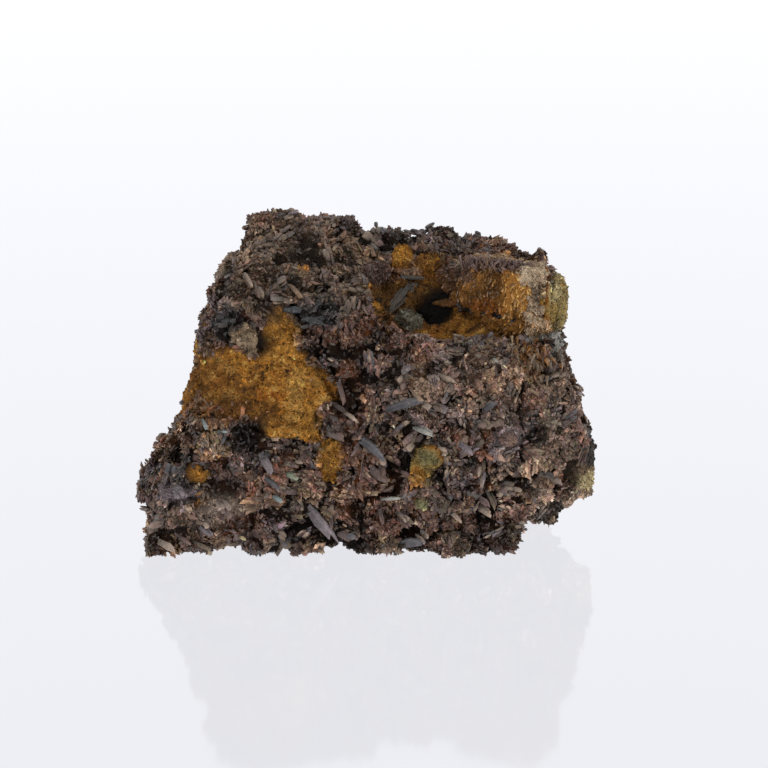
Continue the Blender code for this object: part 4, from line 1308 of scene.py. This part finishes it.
def fibre_bundles(material):
    """Thin fibres that run side by side along a line, each straying a little from the bundle's way."""
    dice = np.random.default_rng(FIBRE_SEED)
    middles, halves, tints, sizes = [], [], [], []
    for line, stray, way, count, length, breadth, tone in FIBRES.values():
        starts, share = dice.integers(0, len(line) - 1, count), dice.uniform(0.0, 1.0, (count, 1))
        starts, ends = np.array(line)[starts], np.array(line)[starts + 1]
        points = starts + share * (ends - starts) + dice.normal(0.0, stray, (count, 3))
        outward = unit(points - HEART)
        along = unit(np.array(way) + dice.normal(0.0, FIBRE_DISORDER, (count, 3)))
        middles.append(points)
        halves.append(np.stack((along, unit(np.cross(outward, along)), outward)))
        sizes.append(np.stack([between(dice, limits, count) for limits in (length, breadth, breadth)]))
        tints.append(linear(tone) * np.exp(dice.normal(0.0, FIBRE_VARIETY, (count, 1))))
    middles, tints = np.concatenate(middles), np.concatenate(tints)
    axes = 0.5 * np.concatenate(halves, axis=1) * np.concatenate(sizes, axis=1)
    wedge_piece("fibres", middles, right_handed(axes), OTHER_TIP, tints, material, plain=True)


def ochre_grains(material):
    """Grains on the bare patches: wedges, half sunk, of the ochre's own tints."""
    dice = np.random.default_rng(GRAIN_SPREAD_SEED)
    rays = strewn_rays(dice, GRAINS, PLACE_STRAY / math.sqrt(GRAINS))
    points, outward, bare, gaps, dark = fine_skin(rays)
    keep = evenly_kept(dice, rays, points, outward) & (bare > GRAIN_LEAST_BARE)
    keep &= (points[:, 2] > LOWEST_GRAIN) & (dark < GRAIN_MOST_DARK)
    roots, outward = points[keep], outward[keep]
    flat = turned_flat(outward, dice.uniform(-math.pi, math.pi, (len(roots), 1)))
    radius = between(dice, GRAIN_RADIUS, len(roots))
    axes = GRAIN_HEIGHT * radius * outward, radius * flat, radius * np.cross(outward, flat)
    brightness, variety = GRAIN_BRIGHTNESS
    tints = with_stains_and_painted_light(ochre_tints(roots), roots)
    tints = tints * np.exp(dice.normal(brightness, variety, len(roots)))[:, None]
    axes = right_handed(axes)
    wedge_piece("ochre_grains", roots, axes, OTHER_TIP, tints, material, plain=True, bare=1.0)


# The grain of the minerals, in millimetres: two sizes of mottling and that of the specks, the part of the
# noise that mottling is spread over, and how far it darkens and lightens the tint
BROAD_MOTTLE, FINE_MOTTLE, SPECKS = 0.9, 0.22, 0.35
NOISE_MIDDLE = (0.3, 0.7)
BROAD_SHADES, FINE_SHADES = (0.72, 1.3), (0.7, 1.3)
# Where in the noise specks begin and are darkest, and the share of the tint left in them
SPECK_EDGE = (0.60, 0.68)
SPECK_SHADE = 0.25
# Bumps broader than the fine mottling: size and detail of their noise, and its range before and after
LUMPS_NOISE = (0.6, 2.0)
LUMPS_RANGE = (0.25, 0.75, 0.0, 2.0)
# Depth in millimetres and strength of the bumps, share of mirrored light and roughness of each material
STONE_BUMPS, STONE_SPECULAR, STONE_ROUGHNESS = (0.35, 1.0), 0.2, (0.6, 0.85)
CRYSTAL_BUMPS, CRYSTAL_SPECULAR, CRYSTAL_ROUGHNESS = (0.05, 0.8), 0.3, (0.22, 0.6)
# How strong the specks are on crystals, and the size and edge of their worn patches
CRYSTAL_SPECKLE = 0.25
WORN_PATCHES = 1.4
WORN_EDGE = (0.35, 0.65)
AXINITE_IOR = 1.68


def node(tree, kind, inputs=(), **settings):
    """A new shader node with its settings. An input is linked to a socket, or set to a number or colour."""
    made = tree.nodes.new(kind)
    for name, value in settings.items():
        setattr(made, name, value)
    for name, value in dict(inputs).items():
        if isinstance(value, bpy.types.NodeSocket):
            tree.links.new(value, made.inputs[name])
        else:
            made.inputs[name].default_value = value
    return made


def noise_node(tree, size, detail=3.0, roughness=0.6):
    """Noise whose features are about this many millimetres across."""
    place = node(tree, "ShaderNodeTexCoord").outputs["Object"]
    inputs = {"Vector": place, "Scale": 1.0 / (size * MM), "Detail": detail, "Roughness": roughness}
    return node(tree, "ShaderNodeTexNoise", inputs).outputs["Fac"]


def curve_node(tree, value, low, high, to_low, to_high):
    """Takes values from low to high onto another range."""
    inputs = {"Value": value, "From Min": low, "From Max": high, "To Min": to_low, "To Max": to_high}
    return node(tree, "ShaderNodeMapRange", inputs).outputs["Result"]


def times(tree, first, second):
    """The product of two values."""
    inputs = {0: first, 1: second}
    return node(tree, "ShaderNodeMath", inputs, operation="MULTIPLY").outputs["Value"]


def grain_group():
    """Shader group: a tint with fine mottling and dark specks, and a height for its bumps. Speckle sets how
    strong the specks are."""
    group = bpy.data.node_groups.new("mineral_grain", "ShaderNodeTree")
    group.interface.new_socket("Tint", in_out="INPUT", socket_type="NodeSocketColor")
    group.interface.new_socket("Speckle", in_out="INPUT", socket_type="NodeSocketFloat")
    group.interface.new_socket("Color", in_out="OUTPUT", socket_type="NodeSocketColor")
    group.interface.new_socket("Height", in_out="OUTPUT", socket_type="NodeSocketFloat")
    given = group.nodes.new("NodeGroupInput").outputs
    broad = noise_node(group, BROAD_MOTTLE)
    fine = noise_node(group, FINE_MOTTLE, 2.0, 0.7)
    shades = curve_node(group, broad, *NOISE_MIDDLE, *BROAD_SHADES)
    mottled = times(group, shades, curve_node(group, fine, *NOISE_MIDDLE, *FINE_SHADES))
    specks = curve_node(group, noise_node(group, SPECKS, 1.0), *SPECK_EDGE, 0.0, 1.0)
    specks = times(group, specks, given["Speckle"])
    shade = times(group, mottled, curve_node(group, specks, 0.0, 1.0, 1.0, SPECK_SHADE))
    scaled = node(group, "ShaderNodeVectorMath", {0: given["Tint"]}, operation="SCALE")
    group.links.new(shade, scaled.inputs["Scale"])
    lumps = curve_node(group, noise_node(group, *LUMPS_NOISE), *LUMPS_RANGE)
    height = node(group, "ShaderNodeMath", {0: fine, 1: lumps}, operation="ADD").outputs["Value"]
    ends = group.nodes.new("NodeGroupOutput").inputs
    group.links.new(scaled.outputs["Vector"], ends["Color"])
    group.links.new(height, ends["Height"])
    return group


def attribute(tree, name, output):
    """A value that the mesh holds for each point."""
    return node(tree, "ShaderNodeAttribute", attribute_name=name).outputs[output]


def mineral_material(name, grain, bump_depth, bump_strength, specular):
    """A material whose tint and bumps come through the grain group, with its node tree, the grain's node
    and the shader's inputs."""
    material = bpy.data.materials.new(name)
    material.use_nodes = True
    tree = material.node_tree
    grains = node(tree, "ShaderNodeGroup", node_tree=grain)
    tree.links.new(attribute(tree, "tint", "Color"), grains.inputs["Tint"])
    bumps = {"Height": grains.outputs["Height"], "Distance": bump_depth * MM, "Strength": bump_strength}
    into = tree.nodes["Principled BSDF"].inputs
    tree.links.new(grains.outputs["Color"], into["Base Color"])
    tree.links.new(node(tree, "ShaderNodeBump", bumps).outputs["Normal"], into["Normal"])
    into["Specular IOR Level"].default_value = specular
    return material, tree, grains, into


def stone_material(grain):
    """The skin and its grains: matt ochre where bare, and dark damp-looking matrix under the crust."""
    looks = *STONE_BUMPS, STONE_SPECULAR
    material, tree, grains, into = mineral_material("ochre_and_matrix", grain, *looks)
    bare = attribute(tree, "bare", "Fac")
    tree.links.new(bare, grains.inputs["Speckle"])
    tree.links.new(curve_node(tree, bare, 0.0, 1.0, *STONE_ROUGHNESS), into["Roughness"])
    return material


def crystal_material(grain):
    """Axinite: glassy faces with fine bumps, duller where weathered."""
    looks = *CRYSTAL_BUMPS, CRYSTAL_SPECULAR
    material, tree, grains, into = mineral_material("axinite_crystal", grain, *looks)
    worn = noise_node(tree, WORN_PATCHES)
    grains.inputs["Speckle"].default_value = CRYSTAL_SPECKLE
    tree.links.new(curve_node(tree, worn, *WORN_EDGE, *CRYSTAL_ROUGHNESS), into["Roughness"])
    into["IOR"].default_value = AXINITE_IOR
    return material


# The photograph's camera and light, in the working frame's millimetres

CAMERA_TARGET = (0.0, 0.0, 24.3)
CAMERA_DISTANCE = 419.2
CAMERA_DOWN = math.radians(20.0)
CAMERA_LENS = 150.0
CAMERA_SENSOR = 36.0
NEAREST_SEEN = 0.01
FLOOR_SIDE = 3000.0
# How bright the sheet and the tent are to the eye and in mirror images, and as light on the stone
FLOOR_COLOUR = (0.945, 0.95, 1.0, 1.0)
FLOOR_SEEN = 0.81
FLOOR_LIGHT = 1.4
FLOOR_ROUGHNESS = 0.07
FLOOR_IOR = 1.47
# The share of light mirrored, from where on the sheet's own glow fades, to where little of it is left
FLOOR_FADE = (0.35, 0.9)
FLOOR_LEFT = 0.1
# How far the sheet lies under the stone
FLOOR_DROP = 0.05
WORLD_COLOUR = (0.98, 0.985, 1.0, 1.0)
WORLD_SEEN = 0.86
WORLD_LIGHT = 0.18
# Soft boxes: place, side and power in watts
SOFT_BOXES = {
    "above": ((-60.0, -120.0, 620.0), 300.0, 0.7),
    "front_left": ((-460.0, -560.0, 330.0), 240.0, 1.4),
    "front_right": ((430.0, -600.0, 260.0), 240.0, 0.75),
    "right": ((640.0, -60.0, 260.0), 260.0, 1.5),
    "behind": ((0.0, 620.0, 380.0), 400.0, 0.8),
}
# The height of the point that they face, and those that aren't seen in mirror images
LIT_HEIGHT = 15.0
UNMIRRORED = ("behind", "right")


def camera():
    """The photograph's camera: straight in front of the stone, looking down on it."""
    lens = bpy.data.cameras.new("camera")
    lens.lens = CAMERA_LENS
    lens.sensor_width = CAMERA_SENSOR
    lens.clip_start = NEAREST_SEEN
    held = put("camera", lens)
    back = np.array((0.0, -math.cos(CAMERA_DOWN), math.sin(CAMERA_DOWN))) * CAMERA_DISTANCE
    held.location = placed(np.array(CAMERA_TARGET) + back)
    held.rotation_euler = (math.pi / 2.0 - CAMERA_DOWN, 0.0, 0.0)
    bpy.context.scene.camera = held


def floor():
    """A glossy white sheet, lit from below so that the stone throws hardly any shadow."""
    half = FLOOR_SIDE * MM / 2.0
    mesh = bpy.data.meshes.new("floor")
    corners = [(-half, -half, 0.0), (half, -half, 0.0), (half, half, 0.0), (-half, half, 0.0)]
    mesh.from_pydata(corners, [], [(0, 1, 2, 3)])
    material = bpy.data.materials.new("white_acrylic")
    material.use_nodes = True
    tree = material.node_tree
    shader = tree.nodes["Principled BSDF"]
    shader.inputs["Base Color"].default_value = (0.0, 0.0, 0.0, 1.0)
    shader.inputs["Roughness"].default_value = FLOOR_ROUGHNESS
    shader.inputs["IOR"].default_value = FLOOR_IOR
    shader.inputs["Emission Color"].default_value = FLOOR_COLOUR
    on_stone = node(tree, "ShaderNodeLightPath").outputs["Is Diffuse Ray"]
    glancing = node(tree, "ShaderNodeFresnel", {"IOR": FLOOR_IOR}).outputs["Fac"]
    glow = curve_node(tree, on_stone, 0.0, 1.0, FLOOR_SEEN, FLOOR_LIGHT)
    glow = times(tree, glow, curve_node(tree, glancing, *FLOOR_FADE, 1.0, FLOOR_LEFT))
    tree.links.new(glow, shader.inputs["Emission Strength"])
    mesh.materials.append(material)
    sheet = put("floor", mesh)
    sheet.location = (0.0, 0.0, -FLOOR_DROP * MM)


def lights():
    """The white tent round the stone and the soft boxes, each turned to face the stone's middle."""
    world = bpy.data.worlds.new("tent")
    world.use_nodes = True
    tree = world.node_tree
    background = tree.nodes["Background"]
    background.inputs["Color"].default_value = WORLD_COLOUR
    on_stone = node(tree, "ShaderNodeLightPath").outputs["Is Diffuse Ray"]
    strength = curve_node(tree, on_stone, 0.0, 1.0, WORLD_SEEN, WORLD_LIGHT)
    tree.links.new(strength, background.inputs["Strength"])
    bpy.context.scene.world = world
    for name, (place, side, power) in SOFT_BOXES.items():
        box = bpy.data.lights.new(name, "AREA")
        box.size = side * MM
        box.energy = power
        hung = put(name, box)
        hung.location = placed(np.array(place))
        aim = placed(np.array((*MIDDLE, LIT_HEIGHT))) - placed(np.array(place))
        turn = math.atan2(aim[1], aim[0])
        hung.rotation_euler = (math.atan2(math.hypot(aim[0], aim[1]), -aim[2]), 0.0, turn - math.pi / 2.0)
        hung.visible_glossy = name not in UNMIRRORED


def build():
    """The whole scene: camera, materials, pieces, floor and lights."""
    bpy.context.scene.view_settings.view_transform = "Standard"
    camera()
    grain = grain_group()
    stone, crystal = stone_material(grain), crystal_material(grain)
    stone_skin(stone)
    ochre_grains(stone)
    laid_knobs(stone)
    knob_crystals(crystal)
    clusters = crust_clusters()
    large_blades(crystal)
    medium_crystals(clusters, crystal)
    fine_crystals(clusters, crystal)
    fibre_bundles(crystal)
    floor()
    lights()


build()
